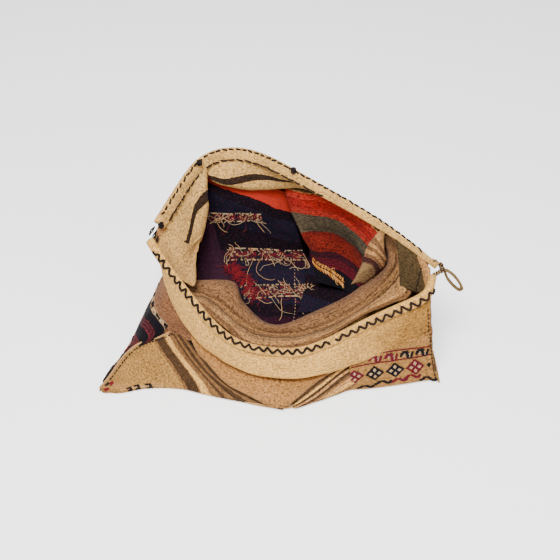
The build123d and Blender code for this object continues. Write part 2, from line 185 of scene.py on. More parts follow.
BANDS = [
    [(48, 118, 238), (92, 94, 250), (127, 70, 248), (157, 50, 240), (184, 30, 228), (200, 18, 218)],
    [(26, 125, 226), (57, 94, 238), (91, 78, 243), (122, 63, 238), (149, 46, 229), (170, 30, 220),
     (188, 14, 206)],
    [(30, 114, 206), (61, 89, 216), (92, 78, 220), (122, 65, 216), (147, 50, 207), (168, 32, 198),
     (184, 16, 184)],
    [(37, 110, 186), (63, 91, 192), (93, 81, 195), (119, 72, 192), (142, 58, 184), (163, 40, 172),
     (180, 22, 160)],
    [(48, 100, 164), (67, 92, 168), (94, 87, 170), (117, 81, 167), (138, 67, 160), (157, 48, 150),
     (174, 29, 140)],
    [(57, 91, 146), (77, 92, 150), (104, 88, 151), (127, 81, 147), (146, 67, 140), (160, 52, 132),
     (174, 36, 122)],
    [(68, 83, 122), (84, 74, 122), (108, 72, 124), (126, 68, 120), (142, 59, 114), (156, 49, 108),
     (170, 36, 98)],
    [(76, 74, 98), (92, 69, 98), (112, 63, 98), (130, 57, 94), (144, 47, 88), (158, 35, 82), (170, 23, 76)],
    [(83, 51, 70), (99, 45, 70), (119, 39, 68), (136, 33, 64), (150, 21, 60), (162, 9, 56), (172, 1, 52)],
]
FIELD = [
    [(-115, 144, 250), (-86, 136, 244), (-54, 134, 240), (-15, 132, 232), (13, 130, 222), (42, 134, 206)],
    [(-116, 144, 232), (-90, 134, 226), (-54, 126, 218), (-19, 123, 206), (10, 122, 190), (42, 129, 174)],
    [(-117, 142, 214), (-91, 129, 208), (-58, 120, 199), (-26, 117, 187), (2, 117, 171), (46, 123, 152)],
    [(-120, 134, 180), (-92, 127, 173), (-63, 122, 165), (-31, 120, 155), (2, 117, 144), (52, 114, 129)],
    [(-125, 122, 144), (-97, 121, 136), (-66, 119, 128), (-33, 117, 120), (6, 114, 110), (60, 112, 100)],
    [(-133, 106, 110), (-106, 106, 100), (-71, 107, 92), (-35, 108, 84), (9, 108, 76), (74, 102, 68)],
    [(-138, 78, 80), (-109, 78, 70), (-72, 79, 62), (-35, 81, 55), (13, 78, 50), (86, 66, 44)],
    [(-137, 39, 56), (-108, 36, 46), (-71, 32, 40), (-31, 29, 35), (21, 27, 32), (98, 20, 30)],
    [(-129, 0, 32), (-99, -9, 26), (-63, -15, 22), (-23, -24, 20), (24, -27, 18), (96, -24, 18)],
    [(-120, -40, 22), (-92, -48, 20), (-58, -54, 18), (-20, -60, 16), (26, -62, 15), (92, -58, 15)],
]
FIELD_RIGHT = [
    [(73, 124, 100), (116, 105, 96), (160, 71, 96)],
    [(70, 109, 78), (112, 91, 74), (154, 53, 80)],
    [(66, 89, 58), (108, 68, 57), (145, 36, 64)],
    [(60, 54, 42), (94, 31, 43), (131, 8, 52)],
    [(50, 11, 32), (81, 8, 35), (115, 0, 42)],
]
INNER_RIGHT = [
    [(212, -4, 222), (234, -13, 212), (252, -22, 203), (268, -31, 193)],
    [(216, -14, 196), (236, -24, 188), (252, -33, 182), (265, -41, 177)],
    [(220, -26, 168), (238, -37, 163), (251, -46, 160), (262, -53, 160)],
    [(222, -40, 142), (238, -50, 142), (250, -58, 144), (259, -64, 148)],
]
OUTER = [
    [(-160, -36, 158), (-178, -20, 172), (-192, -6, 188), (-198, 18, 206), (-184, 46, 224), (-160, 92, 252),
     (-118, 140, 280), (-58, 149, 290), (-2, 122, 292), (57, 87, 282), (119, 51, 264), (172, 28, 244),
     (223, 4, 219), (270, -42, 184)],
    [(-140, -56, 132), (-166, -32, 142), (-181, -18, 154), (-187, 8, 168), (-178, 44, 180), (-160, 104, 200),
     (-122, 152, 216), (-52, 168, 224), (10, 152, 222), (66, 128, 214), (130, 96, 202), (184, 62, 186),
     (236, 18, 164), (271, -82, 144)],
    [(-132, -66, 100), (-164, -44, 104), (-186, -30, 108), (-192, -4, 112), (-186, 46, 116), (-170, 110, 124),
     (-128, 164, 134), (-48, 178, 142), (20, 166, 142), (76, 142, 138), (136, 112, 130), (194, 78, 120),
     (248, 24, 104), (276, -104, 98)],
    [(-132, -74, 74), (-168, -50, 74), (-196, -42, 72), (-211, -22, 70), (-206, 34, 72), (-186, 104, 76),
     (-134, 168, 80), (-44, 184, 84), (26, 178, 84), (86, 160, 80), (146, 130, 76), (202, 94, 70),
     (258, 26, 60), (280, -111, 62)],
    [(-140, -83, 54), (-172, -58, 52), (-208, -60, 46), (-234, -48, 40), (-228, 18, 38), (-196, 96, 36),
     (-138, 166, 34), (-42, 186, 32), (30, 184, 32), (92, 172, 32), (152, 142, 32), (208, 106, 30),
     (266, 28, 28), (284, -118, 34)],
    [(-190, -58, 37), (-230, -76, 21), (-266, -94, 8), (-246, -22, 8), (-204, 88, 6), (-138, 170, 5),
     (-36, 190, 5), (32, 188, 5), (95, 180, 5), (155, 155, 5), (212, 116, 5), (272, 26, 5), (289, -126, 10)],
    [(-236, -68, 23), (-266, -97, 10), (-292, -141, 3), (-254, -46, 3), (-206, 104, 3), (-138, 178, 3),
     (-34, 192, 3), (33, 191, 3), (95, 185, 3), (156, 160, 3), (213, 120, 3), (276, 24, 3), (293, -130, 3)],
]
GROUND_FRONT = [(-294, -154), (-259, -157), (-230, -150), (-188, -146), (-141, -152), (-117, -160),
                (-76, -171),
                (31, -194), (62, -182), (96, -168), (138, -153), (209, -143), (291, -131)]
GROUND_BACK = [(-294, -150), (-252, -48), (-204, 102), (-138, 176), (-34, 190), (95, 183),
               (212, 119), (276, 24),
               (294, -134)]

# ---- lines on the left side that its bands keep to -----------------------------------------------
# each is (share across, row) of OUTER, from front to back
WHITE_LINE = [(0, 5.0), (0.05, 4.6), (0.062, 3.86), (0.075, 3.42), (0.086, 3.05), (0.11, 2.95), (0.15, 3.1),
              (0.22, 3.25), (1, 3.3)]
SIDE_LINES = [
    WHITE_LINE,
    [(0, 5.1), (0.06, 4.65), (0.079, 3.92), (0.103, 3.46), (0.147, 3.62), (0.22, 3.8), (1, 3.85)],
    [(0, 5.2), (0.07, 4.7), (0.082, 4.1), (0.106, 3.8), (0.14, 3.88), (0.22, 4.1), (1, 4.15)],
    [(0, 5.3), (0.078, 4.75), (0.089, 4.27), (0.11, 4.17), (0.15, 4.25), (0.22, 4.4), (1, 4.45)],
]

# ---- colours, as linear light --------------------------------------------------------------------
WHEAT = (0.58, 0.31, 0.078)
BISCUIT = (0.42, 0.205, 0.07)
TAN = (0.17, 0.08, 0.028)
BROWN = (0.052, 0.026, 0.011)
DARK = (0.022, 0.011, 0.006)
OLIVE = (0.055, 0.034, 0.013)
THREAD_DARK = (0.012, 0.006, 0.005)
INK = (0.004, 0.003, 0.005)
PLUM = (0.016, 0.004, 0.009)
NAVY = (0.006, 0.006, 0.014)
CRIMSON = (0.16, 0.006, 0.012)
SCARLET = (0.40, 0.026, 0.013)
BURGUNDY = (0.07, 0.010, 0.012)
ROSE = (0.175, 0.077, 0.034)
GREIGE = (0.075, 0.056, 0.031)
CREAM = (0.46, 0.33, 0.19)
PINK = (0.50, 0.12, 0.08)
GOLD = (0.62, 0.24, 0.03)
PAINTED_SHADE = (0.42, 0.37, 0.32)  # what each colour keeps where shade is painted on it


# ---- smooth lines and lofts ----------------------------------------------------------------------
def natural(knots, values, at):
    """A natural cubic spline through values at knots, read at at. Values may be vectors."""
    k, v, n = np.asarray(knots, float), np.asarray(values, float), len(knots)
    if n == 2:
        w = ((at - k[0]) / (k[1] - k[0]))[:, None]
        return v[0] * (1 - w) + v[1] * w
    h = np.diff(k)
    matrix, right = np.eye(n), np.zeros_like(v)
    for i in range(1, n - 1):
        matrix[i, i - 1:i + 2] = h[i - 1], 2 * (h[i - 1] + h[i]), h[i]
        right[i] = 6 * ((v[i + 1] - v[i]) / h[i] - (v[i] - v[i - 1]) / h[i - 1])
    bend = np.linalg.solve(matrix, right)
    j = np.clip(np.searchsorted(k, at) - 1, 0, n - 2)
    a, b, step = (k[j + 1] - at)[:, None], (at - k[j])[:, None], h[j][:, None]
    cubic = (bend[j] * a ** 3 + bend[j + 1] * b ** 3) / (6 * step)
    return cubic + (v[j] / step - bend[j] * step / 6) * a + (v[j + 1] / step - bend[j + 1] * step / 6) * b


def chords(points):
    """How far along a line each of its points is, as a share."""
    along = np.concatenate([[0], np.cumsum(np.linalg.norm(np.diff(points, axis=0), axis=1) ** 0.75)])
    return along / along[-1]


def line(points, count):
    """count points evenly spaced on a smooth line through points."""
    points = np.asarray(points, float)
    fine = natural(chords(points), points, np.linspace(0, 1, 12 * len(points)))
    along = np.concatenate([[0], np.cumsum(np.linalg.norm(np.diff(fine, axis=0), axis=1))])
    even = np.linspace(0, along[-1], count)
    return np.stack([np.interp(even, along, fine[:, k]) for k in range(3)], axis=1)


def length_of(points):
    return float(np.linalg.norm(np.diff(points, axis=0), axis=1).sum())


def fbm(x, y, scale, seed, octaves=3):
    """Smooth noise from about -1 to 1 over cloth coordinates, with a feature size of scale metres."""
    flat = zip(x.ravel(), y.ravel())
    place = 17.3 * seed
    values = [noise.fractal(Vector((a / scale + place, b / scale - place, place)), 0.6, 2.0, octaves)
              for a, b in flat]
    return np.array(values).reshape(x.shape)


class Cloth:
    """A loft through rows of points, with cloth coordinates in metres. In matched rows, points with the same
    number stay above each other."""

    def __init__(self, rows, wrinkle=0.0, wrinkle_size=0.05, seed=1, stretch=(1.0, 1.0), flip=False,
                 matched=False):
        rows = [np.asarray(r, float) * MM for r in rows]
        width = float(np.mean([length_of(r) for r in rows]))
        across = max(8, int(width / GRID * stretch[0]))
        if matched:
            shared = np.mean([chords(r) for r in rows], axis=0)
            lines = np.array([natural(shared, r, np.linspace(0, 1, across + 1)) for r in rows])
        else:
            lines = np.array([line(r, across + 1) for r in rows])
        knots = chords(lines[:, ::4].reshape(len(rows), -1))
        down = max(6, int(np.mean(np.linalg.norm(np.diff(lines, axis=0), axis=2).sum(0)) / GRID * stretch[1]))
        share = np.linspace(0, 1, down + 1)
        self.points = natural(knots, lines.reshape(len(rows), -1), share).reshape(down + 1, across + 1, 3)
        self.flip = flip
        self.width = width
        self.length = float(np.mean(np.linalg.norm(np.diff(self.points, axis=0), axis=2).sum(0)))
        self.x, self.y = np.meshgrid(np.linspace(0, self.width, across + 1),
                                     np.linspace(0, self.length, down + 1))
        self.share = np.repeat(share[:, None], across + 1, axis=1)
        self.stripe_share = self.share
        self.row_shares = knots
        if wrinkle:
            edge = np.minimum(1, np.minimum(self.share, 1 - self.share) * 6)
            self.points = self.points + self.normals() * (
                fbm(self.x, self.y, wrinkle_size, seed) * wrinkle * edge)[..., None]

    def normals(self):
        along, below = np.gradient(self.points, axis=1), np.gradient(self.points, axis=0)
        n = np.cross(below, along)
        n /= np.maximum(np.linalg.norm(n, axis=2, keepdims=True), 1e-12)
        return -n if self.flip else n

    def push(self, amount):
        """Moves each point along its normal by amount, an array in metres."""
        self.points = self.points + self.normals() * amount[..., None]

    def at(self, across, down, height=0.0):
        """Points at shares across and down the cloth, height metres off its face."""
        if not hasattr(self, "_n"):
            self._n = self.normals()
        across, down = np.broadcast_arrays(np.asarray(across, float), np.asarray(down, float))
        rows, cols = self.points.shape[:2]
        c, r = np.clip(across, 0, 1) * (cols - 1), np.clip(down, 0, 1) * (rows - 1)
        i, j = np.minimum(c.astype(int), cols - 2), np.minimum(r.astype(int), rows - 2)
        u, v = (c - i)[..., None], (r - j)[..., None]

        def mixed(grid):
            top = grid[j, i] * (1 - u) + grid[j, i + 1] * u
            return top * (1 - v) + (grid[j + 1, i] * (1 - u) + grid[j + 1, i + 1] * u) * v
        return mixed(self.points) + mixed(self._n) * np.asarray(height)[..., None]

    def area(self):
        a = self.points[1:, 1:] - self.points[:-1, :-1]
        b = self.points[1:, :-1] - self.points[:-1, 1:]
        return float(np.linalg.norm(np.cross(a, b), axis=2).sum() / 2)


# ---- meshes --------------------------------------------------------------------------------------
def mesh_object(name, points, faces, coords, material):
    mesh = bpy.data.meshes.new(name)
    mesh.from_pydata([tuple(p) for p in points], [], faces)
    attribute = mesh.attributes.new("cloth", "FLOAT_VECTOR", "POINT")
    attribute.data.foreach_set("vector", np.asarray(coords, np.float32).ravel())
    mesh.validate()
    mesh.update()
    mesh.shade_smooth()
    mesh.materials.append(material)
    made = bpy.data.objects.new(name, mesh)
    bpy.context.scene.collection.objects.link(made)
    return made


def cloth_object(name, cloth, material):
    """The cloth as a closed sheet. Its face is where the loft is, and its thickness lies behind it."""
    rows, cols = cloth.points.shape[:2]
    index = np.arange(rows * cols).reshape(rows, cols)
    a, b, c, d = index[:-1, :-1], index[:-1, 1:], index[1:, 1:], index[1:, :-1]
    order = (a, b, c, d) if cloth.flip else (a, d, c, b)
    faces = np.stack(order, axis=-1).reshape(-1, 4).tolist()
    coords = np.stack([cloth.x, cloth.y, cloth.stripe_share], axis=-1).reshape(-1, 3)
    made = mesh_object(name, cloth.points.reshape(-1, 3), faces, coords, material)
    solid = made.modifiers.new("thickness", "SOLIDIFY")
    solid.thickness = CLOTH
    solid.offset = -1
    solid.use_even_offset = False
    return made


class Strands:
    """Many twisted threads gathered into one mesh. "cloth" holds along, around and a random share."""

    def __init__(self, seed=0):
        self.points, self.faces, self.coords = [], [], []
        self.count = 0
        self.random = random.Random(seed)

    def tube(self, path, radius, sides=6, tone=None, taper=True):
        path = np.asarray(path, float)
        n = len(path)
        along = np.gradient(path, axis=0)
        along /= np.maximum(np.linalg.norm(along, axis=1, keepdims=True), 1e-12)
        helper = np.array([0.0, 0.0, 1.0]) if abs(along[0][2]) < 0.9 else np.array([1.0, 0.0, 0.0])
        side = np.zeros_like(path)
        for i in range(n):
            s = np.cross(along[i], helper)
            side[i] = s / max(np.linalg.norm(s), 1e-12)
            helper = np.cross(side[i], along[i])
        up = np.cross(side, along)
        r = np.full(n, float(radius))
        if taper:
            r[0] *= END_TAPER
            r[-1] *= END_TAPER
        turn = np.linspace(0, 2 * math.pi, sides, endpoint=False)
        ring = (side[:, None] * np.cos(turn)[None, :, None] + up[:, None] * np.sin(turn)[None, :, None])
        points = (path[:, None] + ring * r[:, None, None]).reshape(-1, 3)
        travel = np.concatenate([[0], np.cumsum(np.linalg.norm(np.diff(path, axis=0), axis=1))])
        tone = self.random.random() if tone is None else tone
        coords = np.stack([np.repeat(travel, sides), np.tile(turn / (2 * math.pi), n),
                           np.full(n * sides, tone)], 1)
        base = self.count
        for i in range(n - 1):
            for k in range(sides):
                m = (k + 1) % sides
                p, q = base + i * sides, base + (i + 1) * sides
                self.faces.append((p + k, p + m, q + m, q + k))
        self.faces.append(tuple(base + k for k in reversed(range(sides))))
        self.faces.append(tuple(base + (n - 1) * sides + k for k in range(sides)))
        self.points.append(points)
        self.coords.append(coords)
        self.count += n * sides

    def twisted(self, path, radius, pitch=6 * MM, plies=2, sides=6, tone=None):
        """A thread of plies wound round each other, of that radius overall."""
        path = np.asarray(path, float)
        travel = np.concatenate([[0], np.cumsum(np.linalg.norm(np.diff(path, axis=0), axis=1))])
        steps = max(3, int(travel[-1] / (pitch / 7)))
        at = np.linspace(0, travel[-1], steps)
        centre = np.stack([np.interp(at, travel, path[:, k]) for k in range(3)], 1)
        along = np.gradient(centre, axis=0)
        along /= np.maximum(np.linalg.norm(along, axis=1, keepdims=True), 1e-12)
        ref = np.array([0.0, 0.0, 1.0]) if abs(along[:, 2]).mean() < 0.9 else np.array([1.0, 0.0, 0.0])
        side = np.cross(along, ref)
        side /= np.maximum(np.linalg.norm(side, axis=1, keepdims=True), 1e-12)
        up = np.cross(side, along)
        tone = self.random.random() if tone is None else tone
        for ply in range(plies):
            turn = 2 * math.pi * (at / pitch + ply / plies)
            offset = (side * np.cos(turn)[:, None] + up * np.sin(turn)[:, None]) * radius * 0.5
            self.tube(centre + offset, radius * 0.56, sides, tone)

    def done(self, name, material):
        points, coords = np.concatenate(self.points), np.concatenate(self.coords)
        return mesh_object(name, points, self.faces, coords, material)


# ---- shaders -------------------------------------------------------------------------------------
class Shader:
    """A material made node by node. A value is a number, a colour or another node's output."""

    def __init__(self, name, roughness=0.95, sheen=0.03):
        self.material = bpy.data.materials.new(name)
        self.material.use_nodes = True
        self.tree = self.material.node_tree
        self.surface = self.tree.nodes["Principled BSDF"]
        self.surface.inputs["Roughness"].default_value = roughness
        self.surface.inputs["Sheen Weight"].default_value = sheen
        self.surface.inputs["Sheen Roughness"].default_value = 0.6
        self.surface.inputs["Specular IOR Level"].default_value = 0.06
        source = self.tree.nodes.new("ShaderNodeAttribute")
        source.attribute_name = "cloth"
        self.cloth = source.outputs["Vector"]
        split = self.node("ShaderNodeSeparateXYZ", Vector=self.cloth)
        self.x, self.y, self.share = (split.outputs[k] for k in range(3))

    def node(self, kind, _settings=None, **values):
        made = self.tree.nodes.new(kind)
        for key, value in (_settings or {}).items():
            setattr(made, key, value)
        for key, value in values.items():
            self.put(made.inputs[key.replace("_", " ")], value)
        return made

    def put(self, socket, value):
        if isinstance(value, bpy.types.NodeSocket):
            self.tree.links.new(value, socket)
        elif hasattr(value, "__len__") and len(value) == 3 and socket.type == "RGBA":
            socket.default_value = (*value, 1)
        else:
            socket.default_value = value

    def maths(self, operation, a, b=0.0):
        made = self.node("ShaderNodeMath", {"operation": operation})
        self.put(made.inputs[0], a)
        self.put(made.inputs[1], b)
        return made.outputs[0]

    def add(self, a, b):
        return self.maths("ADD", a, b)

    def times(self, a, b):
        return self.maths("MULTIPLY", a, b)

    def noise(self, size, detail=3.0, stretch=(1, 1, 1), seed=0.0):
        """Noise from 0 to 1 with features about size metres, longer or shorter along the cloth by stretch."""
        mapping = self.node("ShaderNodeMapping", Vector=self.cloth, Location=(seed, seed * 1.7, 0),
                            Scale=(1 / stretch[0], 1 / stretch[1], 0.0))
        return self.node("ShaderNodeTexNoise", Vector=mapping.outputs[0], Scale=1 / size, Detail=detail,
                         Roughness=0.6).outputs["Fac"]

    def within(self, value, low, high):
        """value spread from 0 at low to 1 at high."""
        made = self.node("ShaderNodeMapRange", {"clamp": True}, Value=value)
        made.inputs[1].default_value, made.inputs[2].default_value = low, high
        return made.outputs[0]

    def mix(self, share, a, b, kind="MIX"):
        made = self.node("ShaderNodeMix", {"data_type": "RGBA", "blend_type": kind})
        for socket, value in zip((made.inputs[0], made.inputs[6], made.inputs[7]), (share, a, b)):
            self.put(socket, value)
        return made.outputs[2]

    def grey(self, value):
        return self.node("ShaderNodeCombineColor", Red=value, Green=value, Blue=value).outputs[0]

    def stripes(self, value, stops):
        """Colours held from each stop on. stops are (share, colour)."""
        made = self.node("ShaderNodeValToRGB", Fac=value)
        ramp = made.color_ramp
        ramp.interpolation = "CONSTANT"
        for i, (place, colour) in enumerate(stops):
            point = ramp.elements[i] if i < 2 else ramp.elements.new(min(1.0, place))
            point.position = min(1.0, max(0.0, place))
            point.color = (*colour, 1)
        return made.outputs[0]

    def finish(self, colour, height, depth):
        self.put(self.surface.inputs["Base Color"], colour)
        bump = self.node("ShaderNodeBump", Height=height, Distance=depth, Strength=0.9)
        self.put(self.surface.inputs["Normal"], bump.outputs[0])
        return self.material


def weave_height(s, warp=2.7 * MM, weft=2.0 * MM):
    """Ribs of a weft-faced weave: wefts bulge over each warp, one row up and the next down."""
    wobble = s.times(s.add(s.noise(6 * MM, 2), -0.5), 1.4 * MM)
    across = s.maths("SINE", s.times(s.add(s.x, wobble), math.pi / warp))
    down = s.maths("SINE", s.times(s.add(s.y, wobble), math.pi / weft))
    beads = s.times(s.times(across, down), 0.5)
    return s.add(s.add(s.times(s.maths("ABSOLUTE", across), 0.35), beads), 0.4)


def wool(name, stops, fleck=0.5, dark_fleck=(0.42, 0.34, 0.27), stain=0.32, streak=0.3, ragged=0.012,
         relief=0.45, painted_shade_span=None):
    """Hand-woven wool with stripes. stops are (share down the cloth, colour). Shade is painted on it, darker
    and darker between two distances along the weft, if these are given."""
    s = Shader(name)
    edge = s.times(s.add(s.noise(3.5 * MM, 2, (1.2, 0.5, 1)), -0.5), ragged * 2)
    colour = s.stripes(s.add(s.share, edge), stops) if len(stops) > 1 else None
    height = weave_height(s)
    line_tone = s.within(s.noise(2.2 * MM, 2, (22, 1, 1), 3.0), 0.3, 0.72)
    patch_tone = s.within(s.noise(45 * MM, 4, (1, 1, 1), 7.0), 0.32, 0.68)
    grain = s.within(s.noise(3.3 * MM, 2, (1.4, 0.9, 1), 11.0), 0.34, 0.66)
    tone = s.add(s.add(s.times(line_tone, streak), s.times(patch_tone, stain)),
                 s.add(s.times(grain, GRAIN), s.times(height, relief * 0.6)))
    tone = s.add(tone, 1.0 - 0.5 * (streak + stain + GRAIN) - relief * 0.36)
    base = colour if colour is not None else s.mix(0.0, stops[0][1], stops[0][1])
    shade = s.mix(1.0, base, s.grey(tone), "MULTIPLY")
    if painted_shade_span:
        # painted shade: the colour is made darker between the two distances along the weft
        painted_shade_share = s.within(s.add(s.x, s.times(s.add(s.noise(60 * MM, 3, seed=31.0), -0.5), 0.16)), *painted_shade_span)
        shade = s.mix(painted_shade_share, shade, s.mix(1.0, shade, PAINTED_SHADE, "MULTIPLY"))
    flecks = s.times(s.within(s.noise(3.4 * MM, 1, (1.7, 0.8, 1), 23.0), 0.55, 0.62), fleck)
    shade = s.mix(flecks, shade, s.mix(1.0, shade, dark_fleck, "MULTIPLY"))
    return s.finish(shade, s.add(height, s.times(grain, 0.6)), relief * 1.3 * MM)


def dark_brocade(name, stops, sparkle=0.5, panel=False):
    """Dark wefts with stray coloured ones between them, as on the back of brocade. With panel, the cloth's
    left part, beyond a slanting fold, is plum all over."""
    s = Shader(name, 0.95, 0.0)
    edge = s.times(s.add(s.noise(5 * MM, 2, (3, 0.5, 1)), -0.5), 0.02)
    base = s.stripes(s.add(s.share, edge), stops)
    if panel:
        beyond = s.add(s.x, s.add(s.times(s.y, -0.43), 0.0294))
        base = s.mix(s.within(beyond, 0.002, -0.002), base, (0.024, 0.008, 0.016))
    height = weave_height(s, 2.0 * MM, 1.3 * MM)
    stray = s.within(s.noise(1.6 * MM, 1, (2.2, 0.9, 1), 5.0), 0.58, 0.66)
    hue = s.stripes(s.noise(2.6 * MM, 1, (2, 1, 1), 9.0),
                    [(0.0, NAVY), (0.42, (0.07, 0.02, 0.04)), (0.52, CRIMSON), (0.6, (0.05, 0.04, 0.07)),
                     (0.68, (0.30, 0.20, 0.13))])
    colour = s.mix(s.times(stray, sparkle), base, hue)
    tone = s.add(s.times(height, 0.5), s.add(s.times(s.noise(2.2 * MM, 2, (18, 1, 1), 3.0), 0.8), 0.25))
    return s.finish(s.mix(1.0, colour, s.grey(tone), "MULTIPLY"), height, 0.6 * MM)


def yarn(name, colour, second=None):
    """Spun yarn: fibres run round it on a slant, and its tone changes from thread to thread."""
    s = Shader(name, 0.9, 0.04)
    travel, around = s.times(s.x, 2 * math.pi / (2.2 * MM)), s.times(s.y, 4 * math.pi / (3 * MM))
    slant = s.maths("SINE", s.add(travel, around))
    fibre = s.add(s.times(slant, 0.5), 0.5)
    mixed = s.mix(s.within(s.share, 0.45, 0.55), colour, second or colour)
    tone = s.add(s.add(s.times(fibre, 0.35), s.times(s.share, 0.35)), 0.6)
    return s.finish(s.mix(1.0, mixed, s.grey(tone), "MULTIPLY"), fibre, 0.9 * 0.3 * MM)


# ---- placing things on cloths and rims -----------------------------------------------------------
def polyline_frame(points):
    """Way along, side (to the right of it, seen from above) and up at each point of a line."""
    along = np.gradient(points, axis=0)
    along /= np.linalg.norm(along, axis=1, keepdims=True)
    side = np.cross(along, [0, 0, 1.0])
    side /= np.linalg.norm(side, axis=1, keepdims=True)
    return along, side, np.cross(side, along)


class Rim:
    """The line of a hem, for points beside it."""

    def __init__(self, points, count):
        self.line = line(np.asarray(points, float) * MM, count)
        self.along, self.side, self.up = polyline_frame(self.line)
        self.length = length_of(self.line)

    def beside(self, out, up):
        """The line moved sideways and up, both in millimetres and each a number or one per point."""
        out, up = np.broadcast_to(out, len(self.line)), np.broadcast_to(up, len(self.line))
        return self.line + self.side * (out * MM)[:, None] + self.up * (up * MM)[:, None]


def lofted(lines, **settings):
    """A cloth through lines that are already in metres."""
    return Cloth([np.asarray(one) / MM for one in lines], **settings)


def sampled(path, at):
    """Points on a polyline at shares of its length."""
    path = np.asarray(path)
    travel = np.concatenate([[0], np.cumsum(np.linalg.norm(np.diff(path, axis=0), axis=1))])
    return np.stack([np.interp(np.asarray(at) * travel[-1], travel, path[:, k]) for k in range(3)], 1)


def dashes(strands, path, normal, pitch, share=0.62, radius=THREAD, lift=1.0, span=(0, 1), sway=0.0):
    """Running stitch along path: each stitch comes up out of the cloth and goes back in. normal is one
    vector per path point."""
    total = length_of(path)
    count = max(1, int(total * (span[1] - span[0]) / pitch))
    for i in range(count):
        jitter = strands.random.uniform(-0.09, 0.09)
        start = span[0] + (span[1] - span[0]) * (i + 0.18 + jitter) / count
        end = start + (span[1] - span[0]) * share * strands.random.uniform(0.85, 1.12) / count
        at = np.linspace(start, min(end, 1), 7)
        points, up = sampled(path, at), sampled(normal, at)
        rise = np.sin(np.linspace(0, math.pi, 7)) ** 0.5 * (radius * lift + 0.6 * MM) - 0.8 * MM
        aside = np.cross(up, np.gradient(points, axis=0))
        aside /= np.maximum(np.linalg.norm(aside, axis=1, keepdims=True), 1e-12)
        drift = strands.random.uniform(-sway, sway) * np.linspace(-1, 1, 7)
        strands.twisted(points + up * rise[:, None] + aside * drift[:, None], radius, 5 * MM)


def steady(cloth, points):
    """Points and normals of a cloth on a line of (share across, share down) points."""
    points = np.asarray(points, float)
    fine = np.linspace(0, 1, SEAM_POINTS)
    shares = natural(chords(points), points, fine) if len(points) > 2 else (
        points[0] + (points[1] - points[0]) * fine[:, None])
    base = cloth.at(shares[:, 0], shares[:, 1])
    return base, (cloth.at(shares[:, 0], shares[:, 1], np.ones(SEAM_POINTS)) - base)


class Band:
    """A strip of a cloth along a line of (share across, share down) places, for woven motifs."""

    def __init__(self, cloth, *places):
        self.cloth, self.places = cloth, np.array(places, float)
        steps = np.diff(self.places, axis=0) * (cloth.width, cloth.length)
        self.travel = np.concatenate([[0], np.cumsum(np.hypot(*steps.T))])
        self.length = float(self.travel[-1])

    def at(self, along, down, height):
        """Points along the strip and down from it, in metres."""
        across = np.interp(along, self.travel, self.places[:, 0])
        below = np.interp(along, self.travel, self.places[:, 1]) + np.asarray(down) / self.cloth.length
        return self.cloth.at(across, below, height)

    def float_yarn(self, strands, start, end, down, radius=FLOAT, rise=0.55 * MM, tone=None, taper=True):
        """One weft that floats over the cloth from start to end."""
        along = np.linspace(start, end, max(4, int((end - start) / (1.6 * MM)) + 3))
        bulge = np.sin(np.linspace(0, math.pi, len(along))) ** 0.4 * (rise + radius) - radius * 0.5
        strands.tube(self.at(along, np.full(len(along), down), bulge), radius, 5, tone, taper)

    def solid(self, inks, grid, along, down, cell, lean=0.0):
        """A motif of thick close wefts that touch, leaning by lean cells in each row."""
        for j, row in enumerate(grid):
            shift = along + lean * (len(grid) - j) * cell[0]
            for letter, ink in inks.items():
                over = 0.3 if letter == "#" else -0.1
                for run in re.finditer(re.escape(letter) + "+", row):
                    start, end = shift + (run.start() - over) * cell[0], shift + (run.end() + over) * cell[0]
                    self.float_yarn(ink, start, end, down + (j + 0.5) * cell[1], cell[1] * 0.56, 0.2 * MM,
                                    taper=False)

    def motif(self, inks, grid, along, down, cell=(2.4 * MM, 2.4 * MM), wefts=2):
        """A motif worked in floats. grid is rows of letters, and inks gives each letter's strands."""
        for j, row in enumerate(grid):
            for w in range(wefts):
                y = down + (j + (w + 0.5) / wefts) * cell[1]
                i = 0
                while i < len(row):
                    run = i
                    while run < len(row) and row[run] == row[i]:
                        run += 1
                    if row[i] in inks:
                        ink = inks[row[i]]
                        slip = ink.random.uniform(-0.25, 0.25) * MM
                        self.float_yarn(ink, along + i * cell[0] + slip, along + run * cell[0] + slip, y,
                                        cell[1] / wefts * 0.52)
                    i = run


def loose_end(strands, cloth, across, down, length, heading, radius=YARN, curl=0.5, height=3 * MM):
    """A loose yarn that wanders over the cloth from (across, down). heading is its angle: 0 is along the
    weft and a quarter turn is down the cloth."""
    r = strands.random
    steps = max(8, int(length / (1.6 * MM)))
    x, y, angle, bend = across * cloth.width, down * cloth.length, heading, 0.0
    points = []
    phase, waves = r.uniform(0, 6.28), r.uniform(1.0, 2.6)
    for i in range(steps + 1):
        share = i / steps
        wave = 0.35 + 0.65 * abs(math.sin(phase + waves * share * math.pi))
        lift = wave * height * min(1, 4 * share + 0.1)
        points.append(cloth.at(x / cloth.width, y / cloth.length, lift + radius))
        bend = 0.86 * bend + r.gauss(0, 1) * curl * 0.22
        angle += bend
        x += math.cos(angle) * length / steps
        y += math.sin(angle) * length / steps
        if not (0 < x < cloth.width and 0 < y < cloth.length):
            break
    if len(points) > 4:
        strands.tube(np.array(points), radius * r.uniform(0.8, 1.15), 5)


# ---- cloths --------------------------------------------------------------------------------------
def share_of(cloth, row):
    """The share down the cloth of a place between its rows of points, counted from 0."""
    return float(np.interp(row, range(len(cloth.row_shares)), cloth.row_shares))


def by_rows(cloth, stops):
    """Stripes given by row place, as shares down the cloth."""
    return [(share_of(cloth, row), colour) for row, colour in stops]


def stripes_along(cloth, places, per_unit=0.12):
    """Makes the third cloth coordinate run across a stripe whose middle follows places, (share across, row)
    each. It is 0.5 on the stripe and changes by 1 in per_unit metres."""
    across = np.array([p[0] for p in places])
    down = np.array([share_of(cloth, p[1]) for p in places])
    order = np.argsort(across)
    centre = np.interp(cloth.x / cloth.width, across[order], down[order])
    cloth.stripe_share = np.clip(0.5 + (cloth.y / cloth.length - centre) * cloth.length / per_unit, 0, 1)


